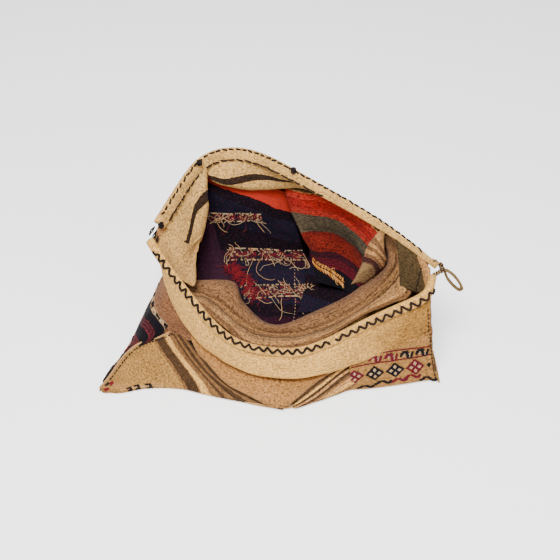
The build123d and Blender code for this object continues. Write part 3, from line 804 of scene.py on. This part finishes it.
def stripes_through(cloth, lines):
    """Makes the third cloth coordinate k / (n + 1) on the k-th of n lines of (share across, row) places."""
    across, steps = cloth.x[0] / cloth.width, np.linspace(0, 1, len(lines) + 2)
    downs = [np.interp(across, [p[0] for p in one], [share_of(cloth, p[1]) for p in one]) for one in lines]
    cloth.stripe_share = np.stack([np.interp(cloth.share[:, i], [0, *(d[i] for d in downs), 1], steps)
                                   for i in range(len(across))], axis=1)


def make_cloths():
    """Every cloth's loft, with its wrinkles."""
    cloths = {
        "drape": Cloth(DRAPE, 1.6 * MM, 0.07, 3),
        "belly": Cloth(BELLY, 2.2 * MM, 0.06, 4),
        "left_tip": Cloth(LEFT_TIP, 1.6 * MM, 0.06, 5),
        "right_folds": Cloth(RIGHT_FOLDS, 1.6 * MM, 0.05, 6),
        "corner": Cloth(CORNER, 1.4 * MM, 0.06, 7),
        "fold": Cloth(FOLD, 2.0 * MM, 0.05, 8, matched=True),
        "flap": Cloth(FLAP, 1.5 * MM, 0.03, 16, matched=True),
        "inner_left": Cloth(INNER_LEFT, 1.5 * MM, 0.05, 9),
        "inner_front_left": Cloth(INNER_FRONT_LEFT, 1.5 * MM, 0.05, 10, matched=True),
        "inner_back": Cloth(INNER_BACK, 1.5 * MM, 0.05, 11),
        "bands": Cloth(BANDS, 2.5 * MM, 0.06, 12),
        "field": Cloth(FIELD, 3.0 * MM, 0.06, 13),
        "field_right": Cloth(FIELD_RIGHT, 2.0 * MM, 0.04, 17),
        "inner_right": Cloth(INNER_RIGHT, 2.5 * MM, 0.04, 14),
        "outer": Cloth(OUTER, 3.5 * MM, 0.09, 15, flip=True),
        "ground": ground(),
    }
    stripes_along(cloths["inner_left"], [(0.89, 1.31), (0.73, 1.76), (0.6, 2.0), (0.49, 2.44), (0.38, 2.9),
                                         (0.19, 3.51)], 0.15)
    stripes_along(cloths["inner_back"], [(0.0, 1.7), (0.13, 2.0), (0.32, 1.81), (0.41, 1.78), (0.69, 1.6),
                                         (1.0, 1.3)])
    stripes_along(cloths["flap"], [(0.0, 2.5), (0.5, 3.1), (1.0, 3.9)])
    field = cloths["field"]
    panel = np.clip((0.014 + 0.43 * (field.y - 0.101) - field.x) / 0.012, 0, 1)
    field.push((3 * panel ** 2 - 2 * panel ** 3) * 7 * MM)
    stripes_through(cloths["outer"], SIDE_LINES)
    return cloths


def ground():
    """The cloth that the sack stands on, just inside its outline."""
    front = line([(x, y + 7, 3.4) for x, y in GROUND_FRONT], 60)
    back = line([(x, y - 4, 3.4) for x, y in GROUND_BACK], 60)
    return lofted([front * MM, (front * 0.5 + back * 0.5) * MM, back * MM])


def make_hems(cloths):
    """Rolled hems: from the inside flank over the top to the outside flank."""
    front, back = Rim(FRONT_RIM, RIM_POINTS), Rim(BACK_RIM + [BACK_HEM_END], RIM_POINTS)
    wobble = np.array([noise.noise(Vector((i * 0.11, 3.1, 0))) for i in range(RIM_POINTS)])
    share = np.linspace(0, 1, RIM_POINTS)
    depth = np.interp(share, (0, 0.25, 0.5, 0.65, 1), (0.9, 0.55, 0.55, 0.9, 1.3))
    front_rows = [front.beside(out + 0.5 * wobble, up + 0.7 * wobble) for out, up in
                  ((-5, -15), (-6.3, -5), (-4.5, 3.2), (0.5, 5.6), (4.6, 3.2), (6.4, -1.5 * depth),
                   (7.0, -6 * depth), (6.6, -10 * depth))]
    slim = np.interp(share, (0, 0.45, 0.8, 1), (1, 0.9, 0.62, 0.4))
    back_rows = [back.beside(out * slim + 0.5 * wobble, up * slim + 0.8 * wobble) for out, up in
                 ((9.5, -18), (8.5, -11), (7, -4), (4.5, 2.5), (0, 5), (-4.5, 2.5), (-7.5, -4), (-9.5, -14))]
    cloths["front_hem"] = lofted(front_rows, stretch=(1, 1.6))
    cloths["back_hem"] = lofted(back_rows, stretch=(1, 1.6), flip=True)


def cloth_materials(cloths):
    tip, folds, fold = cloths["left_tip"], cloths["right_folds"], cloths["fold"]
    bands, field = cloths["bands"], cloths["field"]
    plain = wool("wheat_wool", [(0, WHEAT)])
    back_plain = wool("wheat_wool_back", [(0, (0.42, 0.21, 0.065))])
    stripe = [(0, (0.45, 0.255, 0.078)), (0.455, DARK), (0.545, (0.45, 0.255, 0.078))]
    return {
        # painted shade: the drape's right part, which lies in shade, is painted darker
        "drape": wool("drape_wool", [(0, WHEAT)], painted_shade_span=(0.39, 0.52)),
        "belly": wool("belly_wool", [(0, (0.31, 0.145, 0.043))]), "ground": back_plain,
        "front_hem": plain, "back_hem": wool("hem_wool", [(0, (0.52, 0.29, 0.082))]),
        "left_tip": wool("tip_stripes", by_rows(tip, [
            (0, BROWN), (0.25, TAN), (0.5, BROWN), (0.78, TAN), (0.95, BROWN), (1.1, TAN), (1.5, BISCUIT),
            (1.62, WHEAT), (2.0, TAN), (2.12, BROWN), (2.95, TAN), (3.1, (0.30, 0.155, 0.043))]), 0.6),
        "right_folds": wool("fold_stripes", by_rows(folds, [
            (0, WHEAT), (0.12, BROWN), (0.8, TAN), (0.95, WHEAT), (1.3, BROWN), (1.7, BISCUIT), (2.1, BROWN),
            (2.6, TAN), (3.0, BISCUIT), (3.6, WHEAT), (4.1, TAN)]), 0.6),
        "corner": wool("corner_wool", [(0, (0.27, 0.13, 0.036))]),
        "fold": wool("earth_stripes", by_rows(fold, [
            (0, (0.19, 0.09, 0.038)), (0.9, (0.17, 0.083, 0.034)), (1.5, (0.11, 0.052, 0.02)),
            (1.8, (0.22, 0.105, 0.04)), (2.15, (0.17, 0.083, 0.03)), (2.55, BROWN),
            (2.7, (0.25, 0.128, 0.05)), (3.2, (0.34, 0.17, 0.06)), (3.6, (0.15, 0.07, 0.026)),
            (3.85, TAN)]), 0.9, streak=0.8, ragged=0.03),
        "inner_left": wool("inner_left_wool", stripe),
        "inner_front_left": wool("inner_front_wool", [(0, (0.41, 0.225, 0.07))]),
        "inner_back": wool("inner_back_wool", stripe),
        "bands": wool("red_bands", by_rows(bands, [
            (0, (0.10, 0.055, 0.026)), (0.72, BISCUIT), (0.86, SCARLET), (1.5, (0.32, 0.010, 0.006)),
            (2.3, SCARLET), (2.88, GREIGE), (4.7, (0.13, 0.009, 0.005)), (5.3, (0.125, 0.010, 0.005)),
            (5.95, (0.03, 0.004, 0.008)), (6.4, (0.07, 0.005, 0.010)), (7.1, INK)]),
            0.9, (0.38, 0.3, 0.4), streak=0.8),
        "field": dark_brocade("dark_field", by_rows(field, [
            (0, (0.46, 0.030, 0.008)), (0.05, SCARLET), (1.15, INK), (2.0, NAVY), (3.6, INK), (4.9, PLUM),
            (5.2, NAVY), (6.9, INK), (7.4, PLUM), (7.9, INK)]), panel=True),
        "field_right": dark_brocade("dark_field_right", [(0, PLUM), (0.3, NAVY), (0.45, INK), (0.75, NAVY)]),
        "inner_right": wool("inner_right_wool", [(0, OLIVE)], 0.5, streak=0.4),
        "outer": wool("outer_bands", [
            (0, BISCUIT), (0.06, ROSE), (0.12, (0.19, 0.08, 0.034)), (0.15, ROSE), (0.2, INK),
            (0.4, BURGUNDY), (0.44, PLUM), (0.47, BURGUNDY), (0.51, PLUM), (0.54, BURGUNDY), (0.6, INK),
            (0.8, BURGUNDY), (0.84, INK), (0.9, (0.02, 0.01, 0.008))],
            0.8, (0.35, 0.2, 0.18), ragged=0.004),
        "flap": wool("flap_stripes", [
            (0, BISCUIT), (0.1, TAN), (0.16, ROSE), (0.22, BISCUIT), (0.28, TAN), (0.34, BISCUIT),
            (0.40, ROSE), (0.455, (0.045, 0.014, 0.010)), (0.53, (0.10, 0.05, 0.03)),
            (0.55, (0.19, 0.11, 0.045))], 0.5),
    }


REPLACED = {
    "drape": ("front_drape",), "left_tip": ("front_belly",), "corner": ("right_corner_panel",),
    "fold": ("inner_fold",), "inner_left": ("inner_left_wall",), "inner_back": ("inner_back_band",),
    "bands": ("striped_bands",), "field": ("brocade_field",), "inner_right": ("inner_right_wall",),
    "outer": ("back_wall", "left_side_panel", "left_dark_stripes"), "ground": ("ground_cloth",),
    "front_hem": ("front_hem",), "back_hem": ("back_hem", "back_hem_facing"),
}
SLOTS = {
    "corner": "banded_cloth", "bands": "banded_cloth", "fold": "striped_cloth", "flap": "striped_cloth",
    "left_tip": "striped_cloth", "right_folds": "striped_cloth", "field": "brocade_reverse",
    "field_right": "brocade_reverse", "outer": "brocade_cloth", "ground": "brocade_cloth",
}


def build_cloths(cloths):
    materials = cloth_materials(cloths)
    made = {}
    for name, cloth in cloths.items():
        piece = cloth_object(name + "_wool", cloth, materials[name])
        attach(piece, "sack")
        SLOTS.get(name, "wheat_cloth")
        if name in REPLACED:
            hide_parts(*REPLACED[name])
        made[name] = piece
    return made


def thread_piece(strands, name, material, slot, *nodes):
    piece = strands.done(name, material)
    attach(piece, "sack")
    if nodes:
        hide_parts(*nodes)
    return piece


# ---- sewing --------------------------------------------------------------------------------------
def zigzag(hem, material):
    """One thread back and forth over the near hem's outer edge, in uneven teeth that widen to the right."""
    strands = Strands(21)
    places = [(0.0, 0.80), (0.06, 0.70), (0.3, 0.66), (0.45, 0.66), (0.6, 0.70), (0.8, 0.80), (0.97, 0.84)]
    teeth = int(hem.width / (8.6 * MM))
    at = np.linspace(0.035, 0.965, teeth * 8)
    middle = np.interp(at, [p[0] for p in places], [p[1] for p in places])
    uneven = np.array([noise.noise(Vector((a * 70, 0.5, 0))) for a in at])
    phase = np.linspace(0, teeth * math.pi, len(at)) + 0.9 * uneven
    swing = np.arcsin(0.97 * np.sin(phase)) * 2 / math.pi
    down = middle + swing * (np.interp(at, (0, 0.5, 1), (0.12, 0.11, 0.16)) + 0.06 * uneven)
    lift = 1.2 * MM + 0.6 * MM * np.cos(2 * phase)
    gap = int(len(at) * 0.655)
    for part in (slice(0, gap), slice(gap + 10, None)):
        strands.twisted(hem.at(at[part], down[part], lift[part]), THREAD * 1.55, 5 * MM)
    return thread_piece(strands, "zigzag_thread", material, "dark_thread", "zigzag_stitching")


def hem_runs(hem, material):
    """The two rows of running stitch that hold the far hem down."""
    outer, inner = Strands(22), Strands(23)
    base, up = steady(hem, [(0.02, 0.46), (0.2, 0.47), (0.42, 0.47), (0.7, 0.52), (0.97, 0.5)])
    dashes(outer, base, up, 11.5 * MM, 0.7, THREAD * 1.25, span=(0, 0.97), sway=1.6 * MM)
    base, up = steady(hem, [(0.02, 0.06), (0.3, 0.05), (0.6, 0.06), (0.98, 0.08)])
    dashes(inner, base, up, 14 * MM, 0.86, THREAD * 1.15, span=(0, 0.62), sway=1.4 * MM)
    return [thread_piece(outer, "far_hem_run", material, "dark_thread", "back_hem_stitching"),
            thread_piece(inner, "far_facing_run", material, "dark_thread", "back_facing_stitching")]


SEAMS = (
    # name, node, cloth, line as (share across, share down), pitch
    ("left_seam_thread", "left_seam_stitching", "left_tip",
     [(0.035, 0.04), (0.045, 0.3), (0.07, 0.6), (0.16, 0.9)], 6.0 * MM),
    ("right_seam_thread", "right_seam_stitching", "corner",
     [(0.985, 0.02), (0.985, 0.97)], 6.5 * MM),
    ("inner_left_thread", "inner_left_seam", "inner_front_left",
     [(0.02, 0.12), (0.02, 0.5), (0.04, 0.95)], 6 * MM),
    ("inner_right_thread", "inner_right_seam", "inner_right",
     [(0.86, 0.1), (0.78, 0.5), (0.7, 0.95)], 6 * MM),
)


def seams(cloths, material):
    made = []
    for i, (name, node, cloth, places, pitch) in enumerate(SEAMS):
        strands = Strands(30 + i)
        base, up = steady(cloths[cloth], places)
        dashes(strands, base, up, pitch, 0.58, THREAD * 0.9, 1.6)
        if name == "right_seam_thread":
            base, up = steady(cloths["drape"], [(0.99, 0.3), (0.99, 0.72)])
            dashes(strands, base, up, pitch, 0.58, THREAD * 0.8)
        made.append(thread_piece(strands, name, material, "dark_thread", node))
    return made


def seam_lip(cloths, material):
    """The thin ridge of turned-in cloth along the left seam."""
    strands = Strands(40)
    base, _ = steady(cloths["left_tip"], [(0.0, 0.1), (0.0, 0.5), (0.0, 1.0)])
    strands.tube(base, 2.2 * MM, 8)
    return thread_piece(strands, "left_seam_lip", material, "wheat_cloth")


def bottom_roll(material):
    strands = Strands(41)
    path = line([(x, y + 3.5, 3.2) for x, y in GROUND_FRONT[1:-1]], 200) * MM
    strands.tube(path, 2.6 * MM, 8)
    return thread_piece(strands, "bottom_roll", material, "wheat_cloth", "bottom_edge_roll")


def tangle(strands, centre, size, turns, radius):
    """A knot: one thread wound round and round in all directions."""
    r = strands.random
    phases = [r.uniform(0, 6.28) for _ in range(3)]
    t = np.linspace(0, 2 * math.pi * turns, 16 * turns)
    rates = (1.0, 1.27, 0.83)
    offsets = np.stack([np.sin(rate * t + phase) for rate, phase in zip(rates, phases)], 1)
    offsets *= np.minimum(1, 1.25 / np.maximum(np.linalg.norm(offsets, axis=1, keepdims=True), 0.2))
    strands.twisted(np.asarray(centre) + offsets * size, radius, 5 * MM)


def knots(material):
    strands = Strands(42)
    for x, y, z in KNOTS:
        tangle(strands, np.array((x, y, z + 1)) * MM, 4.0 * MM, 5, THREAD)
    return thread_piece(strands, "knots", material, "dark_thread", "rim_knots")


def lacing(material):
    """Thread wound three times from one hem to the other across the open corner."""
    strands = Strands(43)
    for start, end in zip(LACING_FROM, LACING_TO):
        a, b = np.array(start) * MM, np.array(end) * MM
        bow = np.array((-1.0, -0.4, 1.0)) * 1.6 * MM
        for side in (-0.5, 1):
            t = np.linspace(-0.1, 1.1, 12)[:, None]
            strands.twisted(a + (b - a) * t + bow * side * np.sin(t * math.pi), THREAD, 5 * MM)
    return thread_piece(strands, "corner_lacing", material, "dark_thread", "left_corner_lacing")


def whipping(thread, wool_yarn):
    """The right corner where the loop hangs: wool bound tight, with thread wound round it to both hems."""
    turns_of, core = Strands(44), Strands(45)
    x, y, z = LOOP_AXIS
    centre = np.array((x, y, z)) * MM
    to_back, to_front = np.subtract(BACK_RIM[-1], LOOP_AXIS), np.subtract(FRONT_RIM[-1], LOOP_AXIS)
    bindings = (((0, -11, 0), (0, 11, 0), 5), ((0, 8, 0), to_back, 2), ((0, -7, 0), to_front, 4))
    for start, end, turns in bindings:
        a, b = centre + np.array(start) * MM, centre + np.asarray(end) * MM
        axis = (b - a) / np.linalg.norm(b - a)
        side = np.cross(axis, (0, 0, 1.0))
        side /= np.linalg.norm(side)
        up = np.cross(side, axis)
        t = np.linspace(0, 1, turns * 16)
        turn = 2 * math.pi * turns * t
        radius = 3.3 * MM
        coil = a + (b - a) * t[:, None] + (side * np.cos(turn)[:, None] + up * np.sin(turn)[:, None]) * radius
        turns_of.twisted(coil, THREAD * 0.8, 5 * MM)
        core.twisted(np.array([a, a * 0.67 + b * 0.33, a * 0.33 + b * 0.67, b]), 3.4 * MM, 14 * MM)
    return [thread_piece(turns_of, "corner_whipping", thread, "dark_thread", "right_corner_whipping"),
            thread_piece(core, "corner_core", wool_yarn, "wheat_cloth")]


# ---- hanging loop --------------------------------------------------------------------------------
def hanging_loop(material):
    """A flat three-strand plait about the line of the cord."""
    route = [tuple((a + b) * MM for a, b in zip(LOOP_AXIS, point)) for point in LOOP_ROUTE]
    curve = bpy.data.curves.new("loop_line", "CURVE")
    curve.dimensions = "3D"
    spline = curve.splines.new("NURBS")
    spline.points.add(len(route) - 1)
    for point, place in zip(spline.points, route):
        point.co = (*place, 1)
    spline.order_u = 3
    spline.use_endpoint_u = True
    curve.resolution_u = 24
    guide = bpy.data.objects.new("loop_line", curve)
    measured = bpy.data.meshes.new_from_object(guide)
    path = np.array([v.co[:] for v in measured.vertices])
    bpy.data.meshes.remove(measured)
    bpy.data.objects.remove(guide)
    total = length_of(path)
    centre = sampled(path, np.linspace(0, 1, 140))
    _, side, up = polyline_frame(centre)
    strands = Strands(50)
    turn = np.linspace(0, total / (9.5 * MM), 140) * 2 * math.pi
    for k in range(3):
        phase = turn + k * 2 * math.pi / 3
        offset = side * (np.sin(phase) * 1.75 * MM)[:, None] + up * (np.sin(2 * phase) * 0.9 * MM)[:, None]
        strands.tube(centre + offset, 1.65 * MM, 9)
    piece = strands.done("loop_plait", material)
    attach(piece, "loop")
    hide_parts("hanging_loop")
    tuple(route[0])
    return piece


# ---- woven motifs --------------------------------------------------------------------------------
HOOK = [".#####.....", "###.###...#", "##.c.##c..#", "#..c..##c##", "......##c##", ".......###."]
CROSS = [".#.", "###", ".#."]
RIVER = ["...####.....", "..##..##...#", "###....##.##", "#.......###."]
SMALL_HOOK = ["####..", "##.#..", "#..###", "#...##"]


def lozenge(reach):
    """A diamond of four light cells in a thick outline, as rows of letters."""
    def letter(a, b):
        far = abs(a) + abs(b)
        return "." if far > reach else "#" if far > reach - 2 or abs(abs(a) - abs(b)) < 2 else "c"
    steps = range(-reach, reach + 1)
    return ["".join(letter(a, b) for a in steps) for b in steps]


def flat_line(strands, band, start, end, down, radius=FLOAT, step=5 * MM):
    """A woven line: floats end to end."""
    at = start
    while at < end:
        nxt = min(end, at + step * strands.random.uniform(0.7, 1.3))
        band.float_yarn(strands, at, nxt + 0.4 * MM, down, radius)
        at = nxt


def corner_motifs(corner, inks):
    """Two border lines with hooks between them, and a row of diamonds below, on the right corner."""
    crimson, black, cream = (Strands(60 + k) for k in range(3))
    for start, end in (((0.16, -0.01), (0.975, 0.26)), ((0.02, 0.19), (0.975, 0.44))):
        border = Band(corner, start, end)
        for weft in range(2):
            flat_line(crimson, border, 0, border.length, weft * 1.1 * MM, FLOAT)
    hooks = Band(corner, (0.1, 0.03), (0.97, 0.285))
    diamonds = Band(corner, (-0.06, 0.33), (0.97, 0.52))
    for k in range(4):
        hook_inks = {"#": (crimson, crimson, black, black)[k], "c": cream}
        hooks.solid(hook_inks, HOOK, (0.14 + 0.215 * k) * hooks.length, 0.0, (2.0 * MM, 2.3 * MM), 0.4)
        diamond_inks = {"#": (crimson, black, black, crimson)[k], "c": cream}
        diamonds.solid(diamond_inks, lozenge(7), 0.235 * k * diamonds.length, -4 * MM, (2.15 * MM, 1.9 * MM))
    diamonds.solid({"#": black}, CROSS, 0.95 * diamonds.length, 7 * MM, (2.2 * MM, 2.2 * MM))
    low = Band(corner, (0.02, 0.74), (0.6, 0.8), (1.0, 0.86))
    rivers = ((0.06, black, 6), (0.27, black, 0), (0.46, crimson, 0), (0.62, crimson, -4), (0.8, black, 4))
    for share, ink, drop in rivers:
        low.solid({"#": ink}, RIVER, share * low.length, drop * MM, (2.4 * MM, 2.2 * MM))
    named = (("border_yarn", crimson, "crimson", "border_lines"),
             ("hook_yarn", black, "black", "hook_motifs"),
             ("filling_yarn", cream, "cream", "diamond_motifs"))
    return [thread_piece(s, name, inks[ink], "red_yarn", node) for name, s, ink, node in named]


def side_motifs(outer, tip, inks):
    """The white line, the hooks above it and the small hooks low on the left side and at the tip."""
    cream, black, red = Strands(70), Strands(71), Strands(72)
    edge = [(across, share_of(outer, row)) for across, row in WHITE_LINE[2:]]
    band = Band(outer, *edge)
    for drop in (0, -16):
        flat_line(cream, band, 0, band.length, drop * MM, FLOAT * (1.2 if drop == 0 else 0.7))
    for k in range(int(band.length / (15 * MM))):
        band.solid({"#": (black, cream)[k % 2]}, SMALL_HOOK, k * 15 * MM, -12 * MM, (2.2 * MM, 2.4 * MM))
    low = Band(outer, (0.085, share_of(outer, 4.7)), (0.16, share_of(outer, 4.6)), (1, share_of(outer, 4.7)))
    for k in range(int(low.length / (11 * MM))):
        for drop in (0, 14):
            low.solid({"#": (cream, black, red)[(k + drop) % 3]}, SMALL_HOOK, k * 11 * MM, drop * MM,
                      (1.6 * MM, 2.4 * MM))
    for row, across, ink in ((4.3, 0.9, black), (4.8, 0.88, black), (5.2, 0.88, black), (5.9, 0.3, red),
                             (6.2, 0.2, black), (6.4, 0.5, red)):
        share = share_of(tip, row)
        Band(tip, (across, share), (1, share)).solid({"#": ink}, SMALL_HOOK, 0, 0, (3.4 * MM, 2.4 * MM))
    return [thread_piece(cream, "side_cream_yarn", inks["cream"], "cream_yarn"),
            thread_piece(black, "side_dark_yarn", inks["black"], "dark_thread"),
            thread_piece(red, "side_red_yarn", inks["red"], "red_yarn")]


FIELD_ROWS = (
    # start and end as (share across, share down), width in metres, loose ends, node it stands for
    ((0.06, 0.285), (0.62, 0.175), 20 * MM, 26, "brocade_upper_row"),
    ((0.24, 0.455), (0.99, 0.385), 26 * MM, 44, "brocade_middle_row"),
    ((0.36, 0.655), (0.99, 0.590), 27 * MM, 48, "brocade_lower_row"),
)


def block_pattern(r, columns, rows):
    """A stepped lozenge between two rails, as letters: c cream, r red, k dark, p pink."""
    grid = []
    for j in range(rows):
        letters = []
        for i in range(columns):
            reach = abs((i % 14) - 7) + abs(j - rows / 2 + 0.5) * 1.6
            rail = j in (0, rows - 1)
            letters.append("c" if rail and r.random() < 0.7 else "k" if reach > 8 else
                           "r" if reach > 4.5 else r.choice("rkcp") if reach > 2.2 else "r")
            if r.random() < 0.22:
                letters[-1] = r.choice(".kc.")
        grid.append("".join(letters))
    return grid


def field_brocade(field, inks):
    """Rows of brocade seen from behind, with short floats of every colour, and the loose ends left on it."""
    made, loose = [], Strands(90)
    shared = {"r": Strands(91), "k": Strands(92), "p": Strands(93)}
    for n, (start, end, width, ends, node) in enumerate(FIELD_ROWS):
        band = Band(field, start, end)
        cream = Strands(94 + n)
        cell = (2.1 * MM, 2.5 * MM)
        grid = block_pattern(cream.random, int(band.length / cell[0]), int(width / cell[1]))
        band.motif({"c": cream, **shared}, grid, 0, 0, cell)
        r = loose.random
        for _ in range(ends):
            place = r.random() ** (0.75 if n else 1.2)
            across = [a + (b - a) * place for a, b in zip(start, end)]
            down = across[1] + r.uniform(0, 1) * width / field.length
            long = r.random() < 0.3
            loose_end(loose if r.random() < 0.86 else shared["r"], field, across[0], down,
                      r.uniform(28, 70) * MM if long else r.uniform(7, 20) * MM,
                      r.gauss(math.pi / 2, 0.6) if long else r.uniform(0, 6.28), curl=0.2 if long else 0.6)
        made.append(thread_piece(cream, node + "_yarn", inks["cream"], "cream_yarn", node))
    for letter, ink, name in (("r", "crimson", "brocade_crimson"), ("k", "navy", "brocade_dark"),
                              ("p", "pink", "brocade_pink")):
        made.append(thread_piece(shared[letter], name, inks[ink], "red_yarn"))
    made.append(thread_piece(loose, "loose_ends", inks["cream"], "cream_yarn", "loose_weft_ends"))
    return made


def darn(field, inks):
    """Crossing red threads over a threadbare place."""
    strands = Strands(100)
    r = strands.random
    for start, end, count in (((0.29, 0.53), (0.44, 0.66), 120), ((0.41, 0.665), (0.49, 0.70), 30)):
        for _ in range(count):
            t = r.random()
            across = start[0] + (end[0] - start[0]) * t + r.gauss(0, 0.03)
            down = start[1] + (end[1] - start[1]) * t + r.gauss(0, 0.012)
            length, heading = r.uniform(8, 19) * MM, r.choice((0.6, 2.3)) + r.gauss(0, 0.3)
            loose_end(strands, field, across, down, length, heading, YARN * 1.15, 0.25, 2.2 * MM)
    return thread_piece(strands, "red_darning", inks["red"], "red_yarn", "red_darn")


def gold_motif(cloth, inks):
    """Short slanting gold floats in a chevron band across the dark cloth at the right."""
    gold, red = Strands(101), Strands(102)
    band = Band(cloth, (0.0, 0.822), (0.09, 0.865), (0.275, 0.895), (0.51, 0.945))
    count = int(band.length / (1.9 * MM))
    for i in range(count):
        start = band.length * i / count
        for sign in (-1, 1):
            reach = gold.random.uniform(6.5, 10.0) * MM
            steps = np.linspace(0.12, 1, 5)
            height = np.sin(steps * math.pi) * 1.2 * MM + 0.6 * MM
            path = band.at(start + steps * 5 * MM, sign * steps * reach, height)
            (red if (i + (sign > 0)) % 4 == 0 else gold).tube(path, FLOAT * 1.25, 5)
    for _ in range(16):
        place = gold.random.uniform(0, 1)
        loose_end(gold, cloth, place * 0.5, 0.83 + 0.11 * place, gold.random.uniform(8, 20) * MM,
                  gold.random.uniform(0, 6.28), curl=0.8)
    return [thread_piece(gold, "gold_floats", inks["gold"], "gold_yarn", "gold_motif"),
            thread_piece(red, "gold_band_red", inks["crimson"], "red_yarn")]


def basting(field, inks):
    strands = Strands(103)
    base, up = steady(field, [(0.866, 0.455), (0.81, 0.62), (0.757, 0.83)])
    dashes(strands, base, up, 6.5 * MM, 0.5, YARN * 1.3)
    return thread_piece(strands, "basting", inks["cream"], "cream_yarn", "basting_thread")


def declare_sheets(cloths):
    for name, cloth in cloths.items():
        min(cloth.area(), cloth.width * cloth.length)


# ---- camera, light and floor ---------------------------------------------------------------------
CAMERA_AT = (0.017, -1.2196, 1.2188)
CAMERA_TILT = 48  # degrees up from straight down
LENS, SENSOR = 60, 36  # millimetres
FLOOR_REACH = 6  # metres from the middle to each side
FLOOR_DROP = 1.5 * MM  # how far the floor is below the sack


def camera():
    data = bpy.data.cameras.new("camera")
    data.lens, data.sensor_width = LENS, SENSOR
    made = bpy.data.objects.new("camera", data)
    made.location = CAMERA_AT
    made.rotation_euler = (math.radians(CAMERA_TILT), 0, 0)
    bpy.context.scene.collection.objects.link(made)
    bpy.context.scene.camera = made


def area_light(name, place, target, size, power):
    data = bpy.data.lights.new(name, "AREA")
    data.shape, data.size, data.energy = "DISK", size, power
    made = bpy.data.objects.new(name, data)
    made.location = place
    made.rotation_euler = (Vector(target) - Vector(place)).to_track_quat("-Z", "Y").to_euler()
    bpy.context.scene.collection.objects.link(made)
    made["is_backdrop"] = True


def studio():
    world = bpy.data.worlds.new("studio")
    world.use_nodes = True
    background = world.node_tree.nodes["Background"]
    background.inputs["Color"].default_value = (1, 1, 1, 1)
    background.inputs["Strength"].default_value = 0.5
    bpy.context.scene.world = world
    area_light("key", (-0.35, -1.0, 2.3), (0, 0, 0.1), 1.1, 130)
    area_light("fill", (1.5, -1.2, 1.5), (0, 0, 0.1), 1.2, 16)
    mesh = bpy.data.meshes.new("floor")
    corners = [(x * FLOOR_REACH, y * FLOOR_REACH, 0) for x, y in ((-1, -1), (1, -1), (1, 1), (-1, 1))]
    mesh.from_pydata(corners, [], [(0, 1, 2, 3)])
    floor = bpy.data.objects.new("floor", mesh)
    bpy.context.scene.collection.objects.link(floor)
    surface = bpy.data.materials.new("floor")
    surface.use_nodes = True
    for socket, value in (("Base Color", (0.9, 0.9, 0.9, 1)), ("Roughness", 0.9),
                          ("Emission Color", (1, 1, 1, 1)), ("Emission Strength", 1.0)):
        surface.node_tree.nodes["Principled BSDF"].inputs[socket].default_value = value
    mesh.materials.append(surface)
    floor.location.z = -FLOOR_DROP
    floor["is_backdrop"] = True


def main():
    camera()
    thread = yarn("goat_hair", THREAD_DARK, (0.020, 0.010, 0.008))
    inks = {
        "cream": yarn("cream_yarn", CREAM, (0.52, 0.30, 0.14)),
        "red": yarn("red_yarn", (0.24, 0.005, 0.009), CRIMSON),
        "crimson": yarn("crimson_yarn", CRIMSON, (0.12, 0.006, 0.02)),
        "black": yarn("black_yarn", INK),
        "navy": yarn("navy_yarn", INK, NAVY),
        "pink": yarn("pink_yarn", PINK, (0.5, 0.24, 0.07)),
        "gold": yarn("gold_yarn", GOLD, (0.7, 0.36, 0.10)),
    }
    hanging_loop(yarn("loop_wool", (0.25, 0.15, 0.05), (0.19, 0.115, 0.04)))
    cloths = make_cloths()
    make_hems(cloths)
    pieces = build_cloths(cloths)
    zigzag(cloths["front_hem"], thread)
    hem_runs(cloths["back_hem"], thread)
    seams(cloths, thread)
    lip = yarn("lip_wool", (0.5, 0.27, 0.10))
    seam_lip(cloths, lip)
    bottom_roll(lip)
    knots(thread)
    lacing(thread)
    whipping(thread, lip)
    corner_motifs(cloths["corner"], inks)
    side_motifs(cloths["outer"], cloths["left_tip"], inks)
    field_brocade(cloths["field"], inks)
    darn(cloths["field"], inks)
    gold_motif(cloths["bands"], inks)
    basting(cloths["field"], inks)
    declare_sheets(cloths)
    studio()


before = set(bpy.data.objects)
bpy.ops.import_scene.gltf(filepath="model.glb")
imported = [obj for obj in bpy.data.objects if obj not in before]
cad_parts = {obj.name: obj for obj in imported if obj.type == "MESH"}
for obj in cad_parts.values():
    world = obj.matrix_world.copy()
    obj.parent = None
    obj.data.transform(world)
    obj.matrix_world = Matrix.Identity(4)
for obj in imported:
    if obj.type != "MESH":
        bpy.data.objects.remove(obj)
start_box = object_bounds()
main()
[[list(corner) for corner in box] for box in (start_box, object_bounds())]
